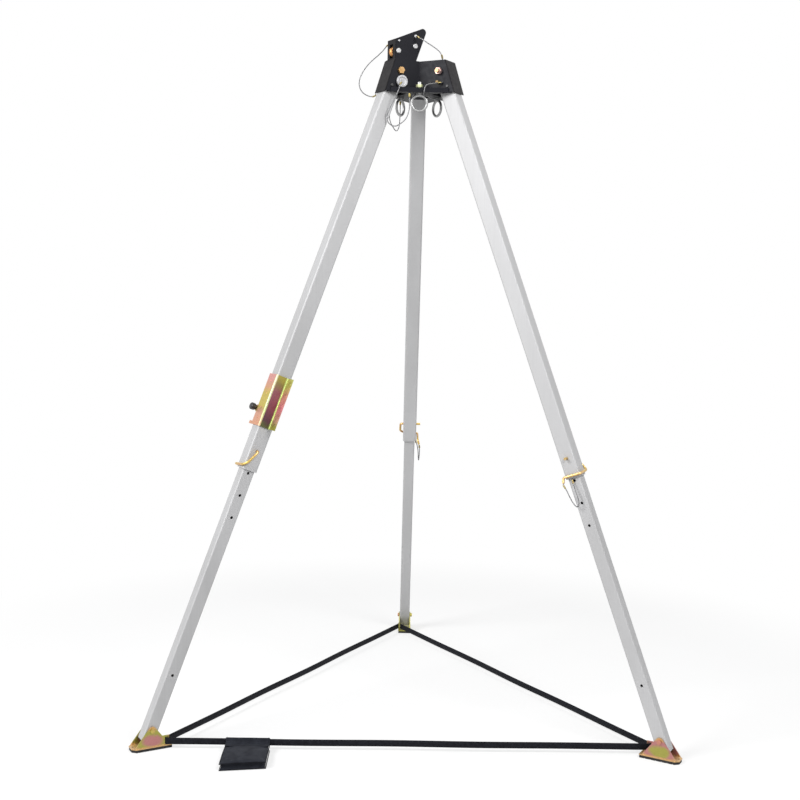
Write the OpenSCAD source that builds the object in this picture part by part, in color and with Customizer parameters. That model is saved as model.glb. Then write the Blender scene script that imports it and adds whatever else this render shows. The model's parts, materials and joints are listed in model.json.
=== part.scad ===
// Rescue tripod: three telescopic legs hinged in a folded steel head, with two rope sheaves,
// three anchor eyes, a winch bracket, hinged feet, a foot strap and a pouch.
// Millimetres, +Z up. The feet stand on z = 0 and the rear leg points along +Y.

/* [Stance] */
// Height of the leg pivots above the floor
pivot_z = 2552; // [2300:1:2700]
// Distance of the leg pivots from the tripod's axis
pivot_r = 109; // [106:1:125]
// Angle of an open leg from the vertical
leg_angle = 21.6; // [18:0.1:24]

/* [Leg tubes] */
// Outside width of the upper tube
outer_w = 60; // [58:0.5:63]
// Wall of the upper tube
outer_wall = 3; // [2:0.25:4]
// Corner radius of the upper tube
outer_corner_r = 6; // [4:0.5:9]
// Length of the upper tube below its pivot
outer_len = 1652; // [1500:1:1750]
// Outside width of the lower tube
inner_w = 48; // [44:0.5:49]
// Wall of the lower tube
inner_wall = 3; // [2:0.25:4]
// Corner radius of the lower tube
inner_corner_r = 5; // [3.5:0.5:8]
// Length of the lower tube that stays inside the upper one
inner_overlap = 300; // [200:1:450]
// Length of the guide bush in the mouth of the upper tube
bush_len = 55; // [30:1:65]
// Length of the lower tube below the foot pivot
inner_tail = 44; // [36:1:50]

/* [Adjust pins] */
// Diameter of the bent pin rod
rod_d = 10; // [8:0.5:12]
// Distance of the pin hole above the mouth of the upper tube
pin_up = 77; // [70:1:100]
// Spacing of the height holes
hole_pitch = 88; // [80:1:90]
// Number of height holes below the pinned one
height_steps = 3; // [1:1:4]
// Number of spacings from the pinned hole to the transport hole
transport_steps = 10; // [8:1:10]
// Clearance round the pin rod, on the diameter
rod_play = 1; // [0.6:0.1:2]
// Length of pin tip that stands out of the tube
pin_tip = 18; // [12:1:25]
// Centre of the bail beyond the tube's side
bail_out = 13; // [11:0.5:18]
// Height of the bail below the pin
bail_drop = 66; // [55:1:70]

/* [Head] */
// Thickness of the folded steel sheet
sheet_t = 4; // [3:0.25:5]
// Inside radius of the bends between the arms
bend_in = 3; // [2:0.5:5]
// Gap between the two cheeks of an arm
arm_gap = 72; // [70:0.5:78]
// Height of the arm tops above the leg pivots
arm_top = 43; // [40:1:55]
// Depth of the head's base plate below the leg pivots
base_drop = 85; // [78:1:95]
// Slope of the end webs from the vertical
web_angle = 18.5; // [16:0.1:20]
// Gap between an open leg and the foot of its web
stop_gap = 0.3; // [0.2:0.05:0.6]
// Distance of the base plate's long edges from the axis
chord_d = 115; // [108:1:120]
// Height of the base plate's upturned lips
lip_h = 14; // [8:1:16]
// Radius of the rope hole in the base plate
rope_hole_r = 40; // [30:1:42]

/* [Sheave housing] */
// Top of the housing's outer edge above the leg pivots
housing_edge_h = 118; // [112:1:124]
// Peak of the housing above the leg pivots, before it is rounded
housing_peak_h = 181; // [172:1:190]
// Distance of the housing's peak inside the leg pivot
housing_peak_in = 121; // [110:1:130]
// Rounding of the housing's peak
housing_round = 14; // [6:1:18]
// Distance of the foot of the housing's inner edge inside the leg pivot
notch_in = 69; // [62:1:74]
// Clear width between the housing plates
housing_gap = 52; // [48:1:54]
// Outer radius of a sheave
sheave_r = 19; // [17:0.5:20]
// Width of a sheave
sheave_w = 22; // [18:0.5:24]
// Rope the sheaves are grooved for
rope_d = 6; // [5:0.5:8]
// Diameter of the sheave axles
axle_d = 14; // [12:0.5:15]
// Distance of the outer sheave outside the leg pivot
sheave1_out = 12; // [9:0.5:13]
// Height of the outer sheave above the leg pivots
sheave1_h = 73; // [70:1:76]
// Distance of the inner sheave inside the leg pivot
sheave2_in = 63; // [58:1:68]
// Height of the inner sheave above the leg pivots
sheave2_h = 98; // [95:1:102]
// Distance of a rope keeper pin above its sheave axle
keeper_up = 38; // [36:0.5:40]
// Diameter of the rope keeper pins
keeper_d = 8; // [6:0.5:9]

/* [Head fittings] */
// Diameter of the leg pivot bolts
pivot_d = 16; // [14:0.5:18]
// Width across flats of the pivot bolt heads
pivot_af = 24; // [22:0.5:28]
// Diameter of the lock pins
lock_d = 12; // [10:0.5:13]
// Diameter of the lock pin knobs
knob_d = 48; // [40:1:50]
// Gap between the knobs and the lips of the base plate
knob_over = 1; // [0.5:0.5:4]
// Distance of the anchor eyes from the tripod's axis
eye_r = 85; // [80:1:90]
// Clear diameter of an anchor eye
eye_id = 50; // [40:1:54]
// Thickness of an anchor eye's ring
eye_wire = 10; // [8:0.5:12]
// Diameter of the eye's shank
eye_shank_d = 16; // [12:0.5:18]

/* [Feet] */
// Height of the foot pivots above the floor
foot_z = 74; // [70:1:85]
// Length of a foot plate
foot_len = 150; // [140:1:170]
// Width of a foot plate
foot_w = 62; // [60:1:70]
// Thickness of the foot's steel
foot_t = 4; // [3:0.25:5]
// Thickness of the rubber pad
pad_t = 10; // [8:0.5:14]
// Width of the rubber pad
pad_w = 52; // [46:1:56]
// Diameter of the foot pivot bolts
foot_bolt_d = 10; // [8:0.5:12]
// Gap between the lower tube and each foot cheek
foot_gap = 1; // [0.5:0.1:1.5]

/* [Winch bracket] */
// Length of the winch bracket along the leg
bracket_len = 205; // [180:1:240]
// Distance of the bracket's lower end above the mouth of the upper tube
bracket_up = 170; // [150:1:240]
// Thickness of the bracket steel
bracket_t = 4; // [3:0.25:5]
// Reach of the bracket's face plate past the tube's far corner
bracket_over = 5; // [4:0.5:10]
// Width of the bracket's middle plate
bracket_mid = 42; // [36:1:48]
// Reach of the bracket's winch flange
bracket_flange = 50; // [40:1:56]
// Diameter of the winch bolt holes
winch_hole_d = 9; // [7:0.5:11]

/* [Strap and pouch] */
// Width of the strap
strap_w = 25; // [20:1:26]
// Thickness of the strap
strap_t = 2; // [1.5:0.25:2.5]
// Height of the strap's lower edge above the foot plate
strap_up = 2.5; // [2:0.5:4]
// Distance of the pouch from the left foot, along the strap
pouch_at = 222; // [180:1:400]
// Width of the pouch
pouch_w = 162; // [140:1:190]
// Length of the pouch on the floor
pouch_len = 196; // [150:1:220]
// Thickness of the pouch at its outer end
pouch_t = 27; // [22:1:35]
// Turn of the pouch on the floor
pouch_turn = 9; // [0:0.5:15]

/* [Lanyards] */
// Diameter of the wire lanyards
wire_d = 4; // [3:0.25:5]

/* [Hidden] */
$fn = 48;

// Leg numbers and their directions round the axis
left = 0;
right = 1;
rear = 2;
leg_az = [210, 330, 90];

// Clearances shared by the fits
run_play = 0.05;
slip_play = 0.3;
bolt_play = 0.2;

// Feet and the shift of the tripod's axis that centres the whole on the origin
foot_r = pivot_r + (pivot_z - foot_z) * tan(leg_angle);
leg_len = (pivot_z - foot_z) / cos(leg_angle);
foot_top = pad_t + foot_t;
cheek_in = inner_w / 2 + foot_gap;
cheek_out = cheek_in + foot_t;
slot_at = -50;
function foot_point(i, along, side) = [
  (foot_r + along) * cos(leg_az[i]) - side * sin(leg_az[i]),
  (foot_r + along) * sin(leg_az[i]) + side * cos(leg_az[i])
];
function strap_start(i) = foot_point(i, slot_at, cheek_out + 1);
function strap_end(i) = foot_point(i, slot_at, cheek_in - strap_t - 2);
strap_from = strap_start(left);
strap_to = strap_end(right);
strap_angle = atan2(strap_to[1] - strap_from[1], strap_to[0] - strap_from[0]);
pouch_angle = strap_angle + pouch_turn;
pouch_mid = strap_from + (pouch_at + pouch_w / 2) * [cos(strap_angle), sin(strap_angle)];
front_y = pouch_mid[1] - pouch_w / 2 * sin(pouch_angle) - pouch_len * cos(pouch_angle);
back_y = foot_r + foot_len / 2;
axis_y = -(front_y + back_y) / 2;

// Head levels and the line of an end web's inner face
base_z = pivot_z - base_drop;
cheek_z = base_z + sheet_t;
arm_top_z = pivot_z + arm_top;
cheek_t = arm_gap / 2;
skin_t = cheek_t + sheet_t;
web_foot_r = pivot_r + base_drop * tan(leg_angle) + (outer_w / 2 + stop_gap) / cos(leg_angle);
function web_r(z) = web_foot_r - (z - base_z) * tan(web_angle);
web_thick = sheet_t / cos(web_angle);
bend_mid = (skin_t + bend_in) / sin(60);
bend_r = bend_mid * cos(60);
bend_lap = 10;
strip_r = web_r(arm_top_z);
housing_peak_r = pivot_r - housing_peak_in;
notch_r = pivot_r - notch_in;
tube_top_r = outer_w / 2 + 1.5;

// Housing of the sheaves, on the left arm
housing_mid = skin_t - sheet_t - housing_gap / 2;
rear_plate_t = housing_mid - housing_gap / 2;
rear_plate_z = pivot_z + tube_top_r + 2.5;
sheaves = [[pivot_r + sheave1_out, pivot_z + sheave1_h], [pivot_r - sheave2_in, pivot_z + sheave2_h]];
strip_slot_w = sheave_w + 4;
strip_slot_h = 2 * sheave_r + 14;

// Lock pins: in each arm just below the leg pivot, their knobs clear of the lips
lock_drop = base_drop - sheet_t - lip_h - knob_over - knob_d / 2;
lock_at = [pivot_r - 3, pivot_z - lock_drop];
lock_arm = norm([3, lock_drop]);
lock_angle = atan2(-lock_drop, -3);
guide_at = [web_r(base_z) - 29, cheek_z + lip_h + 8];
guide_r = 12;
guide_screw_d = 6;
knob_t = 12;
knob_hub = 3;

// Rods, bolts and nuts
pin_s = outer_len - pin_up;
bush_gap = outer_w / 2 - outer_wall;
nut_h = 13;
head_h = 10;
pivot_end = 8;

// A point of leg i, given along the radius, across it and in height
module arm(i) {
  translate([0, axis_y, 0]) rotate([0, 0, leg_az[i]]) children();
}

// The frame of an open leg: origin on its pivot, +X outwards, +Z up the leg
module leg(i) {
  arm(i) translate([pivot_r, 0, pivot_z]) rotate([0, -leg_angle, 0]) children();
}

// A profile drawn in radius and height, made into a plate between two distances across the arm
module side_plate(t0, t1) {
  translate([0, t1, 0]) rotate([90, 0, 0]) linear_extrude(t1 - t0) children();
}

// A round bar across the arm
module cross_bar(d, r, z, t0, t1) {
  translate([r, t1, z]) rotate([90, 0, 0]) cylinder(d = d, h = t1 - t0);
}

// A hexagon bar across the arm
module cross_hex(af, r, z, t0, t1) {
  translate([r, t1, z]) rotate([90, 0, 0]) cylinder(d = af / cos(30), h = t1 - t0, $fn = 6);
}

module rounded_square(w, r) {
  square([w, w - 2 * r], center = true);
  square([w - 2 * r, w], center = true);
  for (sx = [-1, 1], sy = [-1, 1]) translate([sx, sy] * (w / 2 - r)) circle(r);
}

module tube_profile(w, wall, r) {
  difference() {
    rounded_square(w, r);
    rounded_square(w - 2 * wall, max(r - wall, 0.5));
  }
}

// Corners of a circle's arc, for an outline
function arc(c, r, a0, a1, n) = [for (k = [0:n]) c + r * [cos(a0 + (a1 - a0) * k / n), sin(a0 + (a1 - a0) * k / n)]];

// Edge of the raised housing, from the top of its strip round the peak to the notch
function housing_edge() =
  let (
    edge_z = pivot_z + housing_edge_h,
    peak = [housing_peak_r, pivot_z + housing_peak_h],
    top_angle = atan2(peak[1] - edge_z, peak[0] - strip_r),
    side_angle = atan2(arm_top_z - peak[1], notch_r - peak[0]),
    half = (top_angle - side_angle - 180) / 2,
    turn = (top_angle + side_angle + 540) / 2,
    centre = peak + housing_round / sin(half) * [cos(turn), sin(turn)]
  )
  concat(
    [[strip_r, edge_z]],
    arc(centre, housing_round, top_angle - 90, side_angle + 270, 8),
    [[notch_r, arm_top_z]]
  );

// Outline of a cheek in radius and height, plain or raised to the sheave housing
module cheek_outline(raised) {
  polygon(concat(
    [[bend_r + 1, cheek_z], [web_r(cheek_z), cheek_z], [strip_r, arm_top_z]],
    raised ? housing_edge() : [],
    [[bend_r + 1, arm_top_z]]
  ));
}

// Bores of the sheave axles and keeper pins
module housing_bores() {
  for (s = sheaves) {
    cross_bar(axle_d + 2 * bolt_play, s[0], s[1], -skin_t - 1, skin_t + 1);
    cross_bar(keeper_d + 2 * bolt_play, s[0], s[1] + keeper_up, -skin_t - 1, skin_t + 1);
  }
}

// Bores of one cheek for the pivot bolt, the lock pin and the guide screw
module cheek_bores() {
  cross_bar(pivot_d + 2 * bolt_play, pivot_r, pivot_z, -skin_t - 1, skin_t + 1);
  cross_bar(lock_d + 2 * bolt_play, lock_at[0], lock_at[1], -skin_t - 1, skin_t + 1);
  cross_bar(guide_screw_d + 2 * bolt_play, guide_at[0], guide_at[1], -skin_t - 1, skin_t + 1);
}

// One wing of a folded cheek plate on leg i, on its +1 or -1 side
module wing(i, side, raised = false) {
  t0 = side > 0 ? cheek_t : -skin_t;
  arm(i) difference() {
    side_plate(t0, t0 + sheet_t) cheek_outline(raised);
    cheek_bores();
    if (raised) housing_bores();
  }
}

// A point of the wing on one side of a bend, with the bend's middle along X
function wing_point(side, r, t) = [r * cos(60) + t * sin(60), side * (r * sin(60) - t * cos(60))];

// Rounded bend that joins two wings, half way between two legs, sunk a hair below their faces
module bend(az) {
  hair = 0.05;
  end_r = bend_r + bend_lap;
  t0 = cheek_t + hair;
  t1 = skin_t - hair;
  translate([0, axis_y, cheek_z + hair]) rotate([0, 0, az]) linear_extrude(arm_top_z - cheek_z - 2 * hair)
    polygon(concat(
      [wing_point(-1, end_r, t0)],
      arc([bend_mid, 0], bend_in + sheet_t - hair, 210, 150, 6),
      [wing_point(1, end_r, t0), wing_point(1, end_r, t1)],
      arc([bend_mid, 0], bend_in + hair, 150, 210, 6),
      [wing_point(-1, end_r, t1)]
    ));
}

module head_front_plate() {
  color("#24262b") {
    wing(left, 1, true);
    bend(270);
    wing(right, -1);
  }
}

module head_left_plate() {
  color("#24262b") {
    wing(left, -1);
    bend(150);
    wing(rear, 1);
  }
}

module head_right_plate() {
  color("#24262b") {
    wing(right, 1);
    bend(30);
    wing(rear, -1);
  }
}

// Slanted web that closes an arm and stops its leg
module web(i) {
  arm(i) side_plate(-skin_t, skin_t) polygon([
    [web_r(base_z), base_z], [web_r(base_z) + web_thick, base_z],
    [web_r(arm_top_z) + web_thick, arm_top_z], [web_r(arm_top_z), arm_top_z]
  ]);
}

module head_web_left() {
  strip_h = housing_edge_h - arm_top;
  color("#2b2b2f") {
    web(left);
    arm(left) difference() {
      translate([strip_r, rear_plate_t - sheet_t, arm_top_z])
        cube([web_thick, housing_gap + 2 * sheet_t, strip_h]);
      translate([strip_r - 1, housing_mid - strip_slot_w / 2, sheaves[0][1] - strip_slot_h / 2])
        cube([web_thick + 2, strip_slot_w, strip_slot_h]);
    }
  }
}

module head_web_right() {
  color("#2b2b2f") web(right);
}

module head_web_rear() {
  color("#2b2b2f") web(rear);
}

// Plan of the base plate: long edges between the arms, arms open for the legs
module base_plan() {
  slot_r = pivot_r - outer_w / 2 - 3;
  difference() {
    intersection_for(i = [left, right, rear]) rotate(leg_az[i])
      translate([-chord_d, -3 * chord_d]) square([chord_d + web_r(base_z), 6 * chord_d]);
    for (i = [left, right, rear]) rotate(leg_az[i]) {
      translate([slot_r, -cheek_t]) square([web_r(base_z), arm_gap]);
      translate([-eye_r, 0]) circle(d = eye_shank_d + 2 * bolt_play);
    }
    circle(rope_hole_r);
  }
}

module head_base_plate() {
  lip_end = (chord_d - skin_t * sin(60)) / cos(60);
  lip_len = 2 * (lip_end * sin(60) - skin_t * cos(60) - sheet_t * tan(60));
  color("#222327") translate([0, axis_y, 0]) {
    translate([0, 0, base_z]) linear_extrude(sheet_t) base_plan();
    for (i = [left, right, rear]) rotate([0, 0, leg_az[i]])
      translate([-chord_d, -lip_len / 2, cheek_z]) cube([sheet_t, lip_len, lip_h]);
  }
}

module housing_rear_plate() {
  color("#1f2024") arm(left) difference() {
    side_plate(rear_plate_t - sheet_t, rear_plate_t)
      polygon(concat([[notch_r, rear_plate_z], [strip_r, rear_plate_z]], housing_edge()));
    housing_bores();
  }
}

// A grooved sheave, turned about its axle
module sheave(s) {
  arm(left) translate([s[0], housing_mid, s[1]]) rotate([90, 0, 0]) rotate_extrude() difference() {
    translate([axle_d / 2 + run_play, -sheave_w / 2]) square([sheave_r - axle_d / 2 - run_play, sheave_w]);
    translate([sheave_r + 1, 0]) circle(d = rope_d + 3);
  }
}

module sheave_outer() {
  color("#c47a3a") sheave(sheaves[0]);
}

module sheave_inner() {
  color("#c47a3a") sheave(sheaves[1]);
}

// A low turned head, domed by its rim, for an axle or pin
module turned_head(d, h) {
  rotate_extrude() polygon([
    [0, 0], [d / 2, 0], [d / 2, h * 0.45], [d / 2 - h * 0.25, h * 0.8], [d / 2 - h * 0.6, h], [0, h]
  ]);
}

module sheave_axles() {
  color("silver") arm(left) for (s = sheaves) {
    cross_bar(axle_d, s[0], s[1], rear_plate_t - sheet_t - 8, skin_t + 1);
    translate([s[0], skin_t, s[1]]) rotate([-90, 0, 0]) turned_head(axle_d * 1.5, 6);
    translate([s[0], rear_plate_t - sheet_t, s[1]]) rotate([90, 0, 0]) turned_head(axle_d * 1.5, 6);
  }
}

module sheave_spacers() {
  gap = (housing_gap - sheave_w) / 2;
  color("silver") arm(left) for (s = sheaves, side = [-1, 1]) {
    mid = housing_mid + side * (housing_gap / 2 - gap / 2);
    t0 = mid - gap / 2 + (side > 0 ? slip_play : 0);
    translate([s[0], t0 + gap - slip_play, s[1]]) rotate([90, 0, 0]) difference() {
      cylinder(d = axle_d + 8, h = gap - slip_play);
      translate([0, 0, -1]) cylinder(d = axle_d + 2 * run_play, h = gap + 2);
    }
  }
}

// A straight rope keeper pin with a small head, and its lanyard ring at the pulling end
module keeper_pin(s, pull) {
  z = s[1] + keeper_up;
  t_far = rear_plate_t - sheet_t;
  pull_t = pull > 0 ? skin_t : t_far;
  tip_t = pull > 0 ? t_far : skin_t;
  translate([s[0], 0, z]) rotate([90, 0, 0]) translate([0, 0, -max(pull_t, tip_t) - 5])
    cylinder(d = keeper_d, h = abs(pull_t - tip_t) + 10);
  translate([s[0], pull_t + pull * 0.2, z]) rotate([-90 * pull, 0, 0]) turned_head(keeper_d * 1.6, 7);
}

module keeper_pin_outer() {
  color("silver") arm(left) keeper_pin(sheaves[0], -1);
}

module keeper_pin_inner() {
  color("silver") arm(left) keeper_pin(sheaves[1], 1);
}

module leg_pivot_bolts() {
  color("#c9a35a") for (i = [left, right, rear]) arm(i) {
    cross_bar(pivot_d, pivot_r, pivot_z, -skin_t - nut_h - pivot_end, skin_t + 1);
    cross_hex(pivot_af, pivot_r, pivot_z, skin_t, skin_t + head_h);
  }
}

module leg_pivot_nuts() {
  color("#c9a35a") for (i = [left, right, rear]) arm(i) difference() {
    cross_hex(pivot_af, pivot_r, pivot_z, -skin_t - nut_h, -skin_t);
    cross_bar(pivot_d, pivot_r, pivot_z, -skin_t - nut_h - 1, -skin_t + 1);
  }
}

module leg_washers() {
  thick = cheek_t - outer_w / 2 - slip_play;
  color("ivory") for (i = [left, right, rear], side = [-1, 1]) arm(i) difference() {
    cross_bar(pivot_d * 2, pivot_r, pivot_z, side > 0 ? cheek_t - thick : -cheek_t, side > 0 ? cheek_t : -cheek_t + thick);
    cross_bar(pivot_d + 2 * run_play, pivot_r, pivot_z, -skin_t, skin_t);
  }
}

// Nylon discs that guide the leg's sides in the mouth of its arm
module side_guides() {
  thick = cheek_t - outer_w / 2 - slip_play;
  color("ivory") for (i = [left, right, rear], side = [-1, 1]) arm(i) difference() {
    cross_bar(
      2 * guide_r, guide_at[0], guide_at[1],
      side > 0 ? cheek_t - thick : -cheek_t, side > 0 ? cheek_t : -cheek_t + thick
    );
    cross_bar(guide_screw_d + 2 * run_play, guide_at[0], guide_at[1], -skin_t, skin_t);
  }
}

module guide_screws() {
  grip = sheet_t + 3;
  color("#3a3c42") for (i = [left, right, rear], side = [-1, 1]) arm(i) {
    cross_bar(
      guide_screw_d, guide_at[0], guide_at[1], side > 0 ? skin_t - grip : -skin_t - 1, side > 0 ? skin_t + 1 : grip - skin_t
    );
    translate([guide_at[0], side * skin_t, guide_at[1]]) rotate([-90 * side, 0, 0]) turned_head(guide_screw_d * 2, 4);
  }
}

// A lock pin: a plain shank with a large flat knob on the leg's +1 side
module lock_pin(i) {
  color("#c8c9cc") arm(i) {
    cross_bar(lock_d, lock_at[0], lock_at[1], -skin_t - 12, skin_t + knob_hub + 1);
    translate([lock_at[0], skin_t + slip_play, lock_at[1]]) rotate([-90, 0, 0]) rotate_extrude() polygon([
      [0, 0], [lock_d, 0], [lock_d, knob_hub], [knob_d / 2 - 1, knob_hub], [knob_d / 2, knob_hub + 1],
      [knob_d / 2, knob_t - 2], [knob_d / 2 - 2, knob_t], [knob_d * 0.34, knob_t], [knob_d * 0.3, knob_t - 1.5],
      [knob_d * 0.12, knob_t - 1.5], [knob_d * 0.1, knob_t], [0, knob_t]
    ]);
  }
}

module lock_pin_left() {
  lock_pin(left);
}

module lock_pin_right() {
  lock_pin(right);
}

module lock_pin_rear() {
  lock_pin(rear);
}

// Ring of an anchor eye, its collar under the base plate and its threaded shank
module anchor_eyes() {
  mid_r = (eye_id + eye_wire) / 2;
  collar_h = 6;
  shank_up = 38;
  color("#d5d5d2") for (i = [left, right, rear]) arm(i) translate([-eye_r, 0, base_z]) {
    translate([0, 0, -collar_h]) cylinder(d = eye_shank_d + 10, h = collar_h);
    translate([0, 0, -collar_h]) cylinder(d = eye_shank_d, h = collar_h + sheet_t + shank_up);
    translate([0, 0, -collar_h - mid_r - eye_wire / 2 + 3]) rotate([0, 90, 0]) rotate_extrude()
      translate([mid_r, 0]) circle(d = eye_wire, $fn = 24);
  }
}

module eye_nuts() {
  washer_t = 3;
  color("#c9cf7e") for (i = [left, right, rear]) arm(i) translate([-eye_r, 0, cheek_z]) difference() {
    union() {
      cylinder(d = eye_shank_d * 1.9, h = washer_t);
      translate([0, 0, washer_t]) cylinder(d = eye_shank_d * 1.5 / cos(30), h = nut_h, $fn = 6);
    }
    translate([0, 0, -1]) cylinder(d = eye_shank_d, h = nut_h + washer_t + 2);
  }
}

// Curved slot in the top of a leg that lets it swing past its lock pin
module lock_slot() {
  a0 = lock_angle - leg_angle;
  r = lock_d / 2 + slip_play;
  translate([0, outer_w, 0]) rotate([90, 0, 0]) linear_extrude(2 * outer_w) polygon(concat(
    arc([0, 0], lock_arm + r, a0, lock_angle, 8),
    arc(lock_arm * [cos(lock_angle), sin(lock_angle)], r, lock_angle + 20, lock_angle + 160, 8),
    arc([0, 0], lock_arm - r, lock_angle, a0, 8),
    arc(lock_arm * [cos(a0), sin(a0)], r, a0 + 200, a0 + 340, 8)
  ));
}

// Upper tube of a leg: rounded top, pivot bore, lock slot and pin hole
module outer_tube(i) {
  color("#c9ccd2") leg(i) difference() {
    translate([0, 0, -outer_len]) linear_extrude(outer_len + tube_top_r)
      tube_profile(outer_w, outer_wall, outer_corner_r);
    difference() {
      translate([-outer_w, -outer_w, 0]) cube(2 * outer_w);
      cross_bar(2 * tube_top_r, 0, 0, -outer_w - 1, outer_w + 1);
    }
    cross_bar(pivot_d + 2 * run_play, 0, 0, -outer_w, outer_w);
    lock_slot();
    cross_bar(rod_d + rod_play, 0, -pin_s, -outer_w, outer_w);
  }
}

module outer_tube_left() {
  outer_tube(left);
}

module outer_tube_right() {
  outer_tube(right);
}

module outer_tube_rear() {
  outer_tube(rear);
}

// Guide bush pressed into the mouth of the upper tube
module tube_bush(i) {
  color("#2a2a2a") leg(i) translate([0, 0, -outer_len]) linear_extrude(bush_len) difference() {
    rounded_square(2 * bush_gap, max(outer_corner_r - outer_wall, 0.5));
    rounded_square(inner_w + 2 * slip_play, inner_corner_r + slip_play);
  }
}

module tube_bush_left() {
  tube_bush(left);
}

module tube_bush_right() {
  tube_bush(right);
}

module tube_bush_rear() {
  tube_bush(rear);
}

// Lower tube of a leg: height holes, transport hole and the foot's pivot bore
module inner_tube(i) {
  len = leg_len + inner_tail - outer_len + inner_overlap;
  holes = concat([for (k = [0:height_steps]) k], [transport_steps]);
  color("#c4c7cd") leg(i) difference() {
    translate([0, 0, -leg_len - inner_tail]) linear_extrude(len) tube_profile(inner_w, inner_wall, inner_corner_r);
    for (k = holes) cross_bar(rod_d + rod_play, 0, -pin_s - k * hole_pitch, -outer_w, outer_w);
    cross_bar(foot_bolt_d + 2 * run_play, 0, -leg_len, -outer_w, outer_w);
  }
}

module inner_tube_left() {
  inner_tube(left);
}

module inner_tube_right() {
  inner_tube(right);
}

module inner_tube_rear() {
  inner_tube(rear);
}

// Adjust pin: shank ends in the walls of the upper tube, and a bail that goes round it
module adjust_pin(i) {
  side = outer_w / 2 + bail_out;
  face = outer_w / 2 + rod_d / 2 + 1;
  stub = inner_w / 2 + slip_play;
  bend = 9;
  lead = side - bend - 1;
  bail = [
    [0, lead - 1, 0], [0, side, 0], [face - 10, side + 1, -0.76 * bail_drop],
    [face, side - 12, -0.95 * bail_drop], [face, -face - 1, -1.03 * bail_drop],
    [-outer_w / 2 - 4, -face - 2, -bail_drop], [-outer_w / 2 - 8, -face - 8, -bail_drop - 20]
  ];
  color("#c99a4b") leg(i) translate([0, 0, -pin_s]) {
    cross_bar(rod_d, 0, 0, -outer_w / 2 - pin_tip, -stub);
    cross_bar(rod_d, 0, 0, stub, lead);
    swept(rounded(bail, bend, 4), rod_d - 0.3, 12);
  }
}

module adjust_pin_left() {
  adjust_pin(left);
}

module adjust_pin_right() {
  adjust_pin(right);
}

module adjust_pin_rear() {
  adjust_pin(rear);
}

// Side view of a foot cheek: a triangle with a round apex about the pivot
module cheek_side(ear) {
  apex_r = foot_bolt_d + 5;
  half = foot_len / 2 - 10;
  lean = asin(apex_r / norm([half, foot_z - foot_top])) + atan2(half, foot_z - foot_top);
  polygon(concat(
    [[-half, foot_top], [half, foot_top]],
    arc([0, foot_z], apex_r, 90 - lean + 2, 90 + lean - 2, 10)
  ));
  if (ear) translate([slot_at - 14, foot_top]) square([32, strap_w + 10]);
}

// Foot bracket: base plate and two cheeks, the +1 cheek with an ear slotted for the strap
module foot_bracket(i) {
  chamfer = 14;
  slot_w = strap_t + 3;
  color("#c2a352") arm(i) translate([foot_r, 0, 0]) difference() {
    union() {
      translate([0, 0, pad_t]) linear_extrude(foot_t) polygon([
        [-foot_len / 2, -foot_w / 2], [foot_len / 2 - chamfer, -foot_w / 2], [foot_len / 2, chamfer - foot_w / 2],
        [foot_len / 2, foot_w / 2 - chamfer], [foot_len / 2 - chamfer, foot_w / 2], [-foot_len / 2, foot_w / 2]
      ]);
      side_plate(cheek_in, cheek_out) cheek_side(true);
      side_plate(-cheek_out, -cheek_in) cheek_side(false);
    }
    cross_bar(foot_bolt_d + 2 * bolt_play, 0, foot_z, -foot_w, foot_w);
    translate([slot_at - slot_w / 2, cheek_in - 1, foot_top + strap_up - slip_play])
      cube([slot_w, foot_t + 2, strap_w + 2]);
    translate([foot_len / 2 - 9, 0, 0]) cylinder(d = 8, h = foot_top + 1);
  }
}

module foot_bracket_left() {
  foot_bracket(left);
}

module foot_bracket_right() {
  foot_bracket(right);
}

module foot_bracket_rear() {
  foot_bracket(rear);
}

module foot_bolt(i) {
  af = foot_bolt_d * 1.6;
  color("#cbb071") arm(i) translate([foot_r, 0, 0]) {
    cross_bar(foot_bolt_d, 0, foot_z, -cheek_out - 8, cheek_out + 1);
    cross_hex(af, 0, foot_z, cheek_out, cheek_out + 6);
    cross_hex(af, 0, foot_z, -cheek_out - 7, -cheek_out);
  }
}

module foot_bolt_left() {
  foot_bolt(left);
}

module foot_bolt_right() {
  foot_bolt(right);
}

module foot_bolt_rear() {
  foot_bolt(rear);
}

// Rubber pad under the foot plate, with cross grooves in its tread
module foot_pad(i) {
  chamfer = 14;
  length = foot_len - 4;
  grooves = 6;
  color("#1b1b1b") arm(i) translate([foot_r, 0, 0]) difference() {
    linear_extrude(pad_t) polygon([
      [-length / 2, -pad_w / 2], [length / 2 - chamfer, -pad_w / 2], [length / 2, chamfer - pad_w / 2],
      [length / 2, pad_w / 2 - chamfer], [length / 2 - chamfer, pad_w / 2], [-length / 2, pad_w / 2]
    ]);
    for (k = [1:grooves]) translate([-length / 2 + k * length / (grooves + 1) - 2, -pad_w, -1])
      cube([4, 2 * pad_w, 3]);
  }
}

module foot_pad_left() {
  foot_pad(left);
}

module foot_pad_right() {
  foot_pad(right);
}

module foot_pad_rear() {
  foot_pad(rear);
}

// Winch bracket: a plate folded to a Z round the outer corner of the left leg
face_o = outer_w / 2;
flange_o = face_o - bracket_mid;
over_t = -face_o - bracket_over;
bracket_z = bracket_up - outer_len;
clamp_t = 4;
clamp_back = 14;
clamp_len = 70;
clamp_screw_d = 10;
clamp_screw_back = 12;
clamp_z = bracket_z + 0.315 * bracket_len;
clamp_knob_d = 27;
clamp_knob_h = 26;
clamp_knob_t = over_t - clamp_knob_d / 2 - 1.5;

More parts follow.
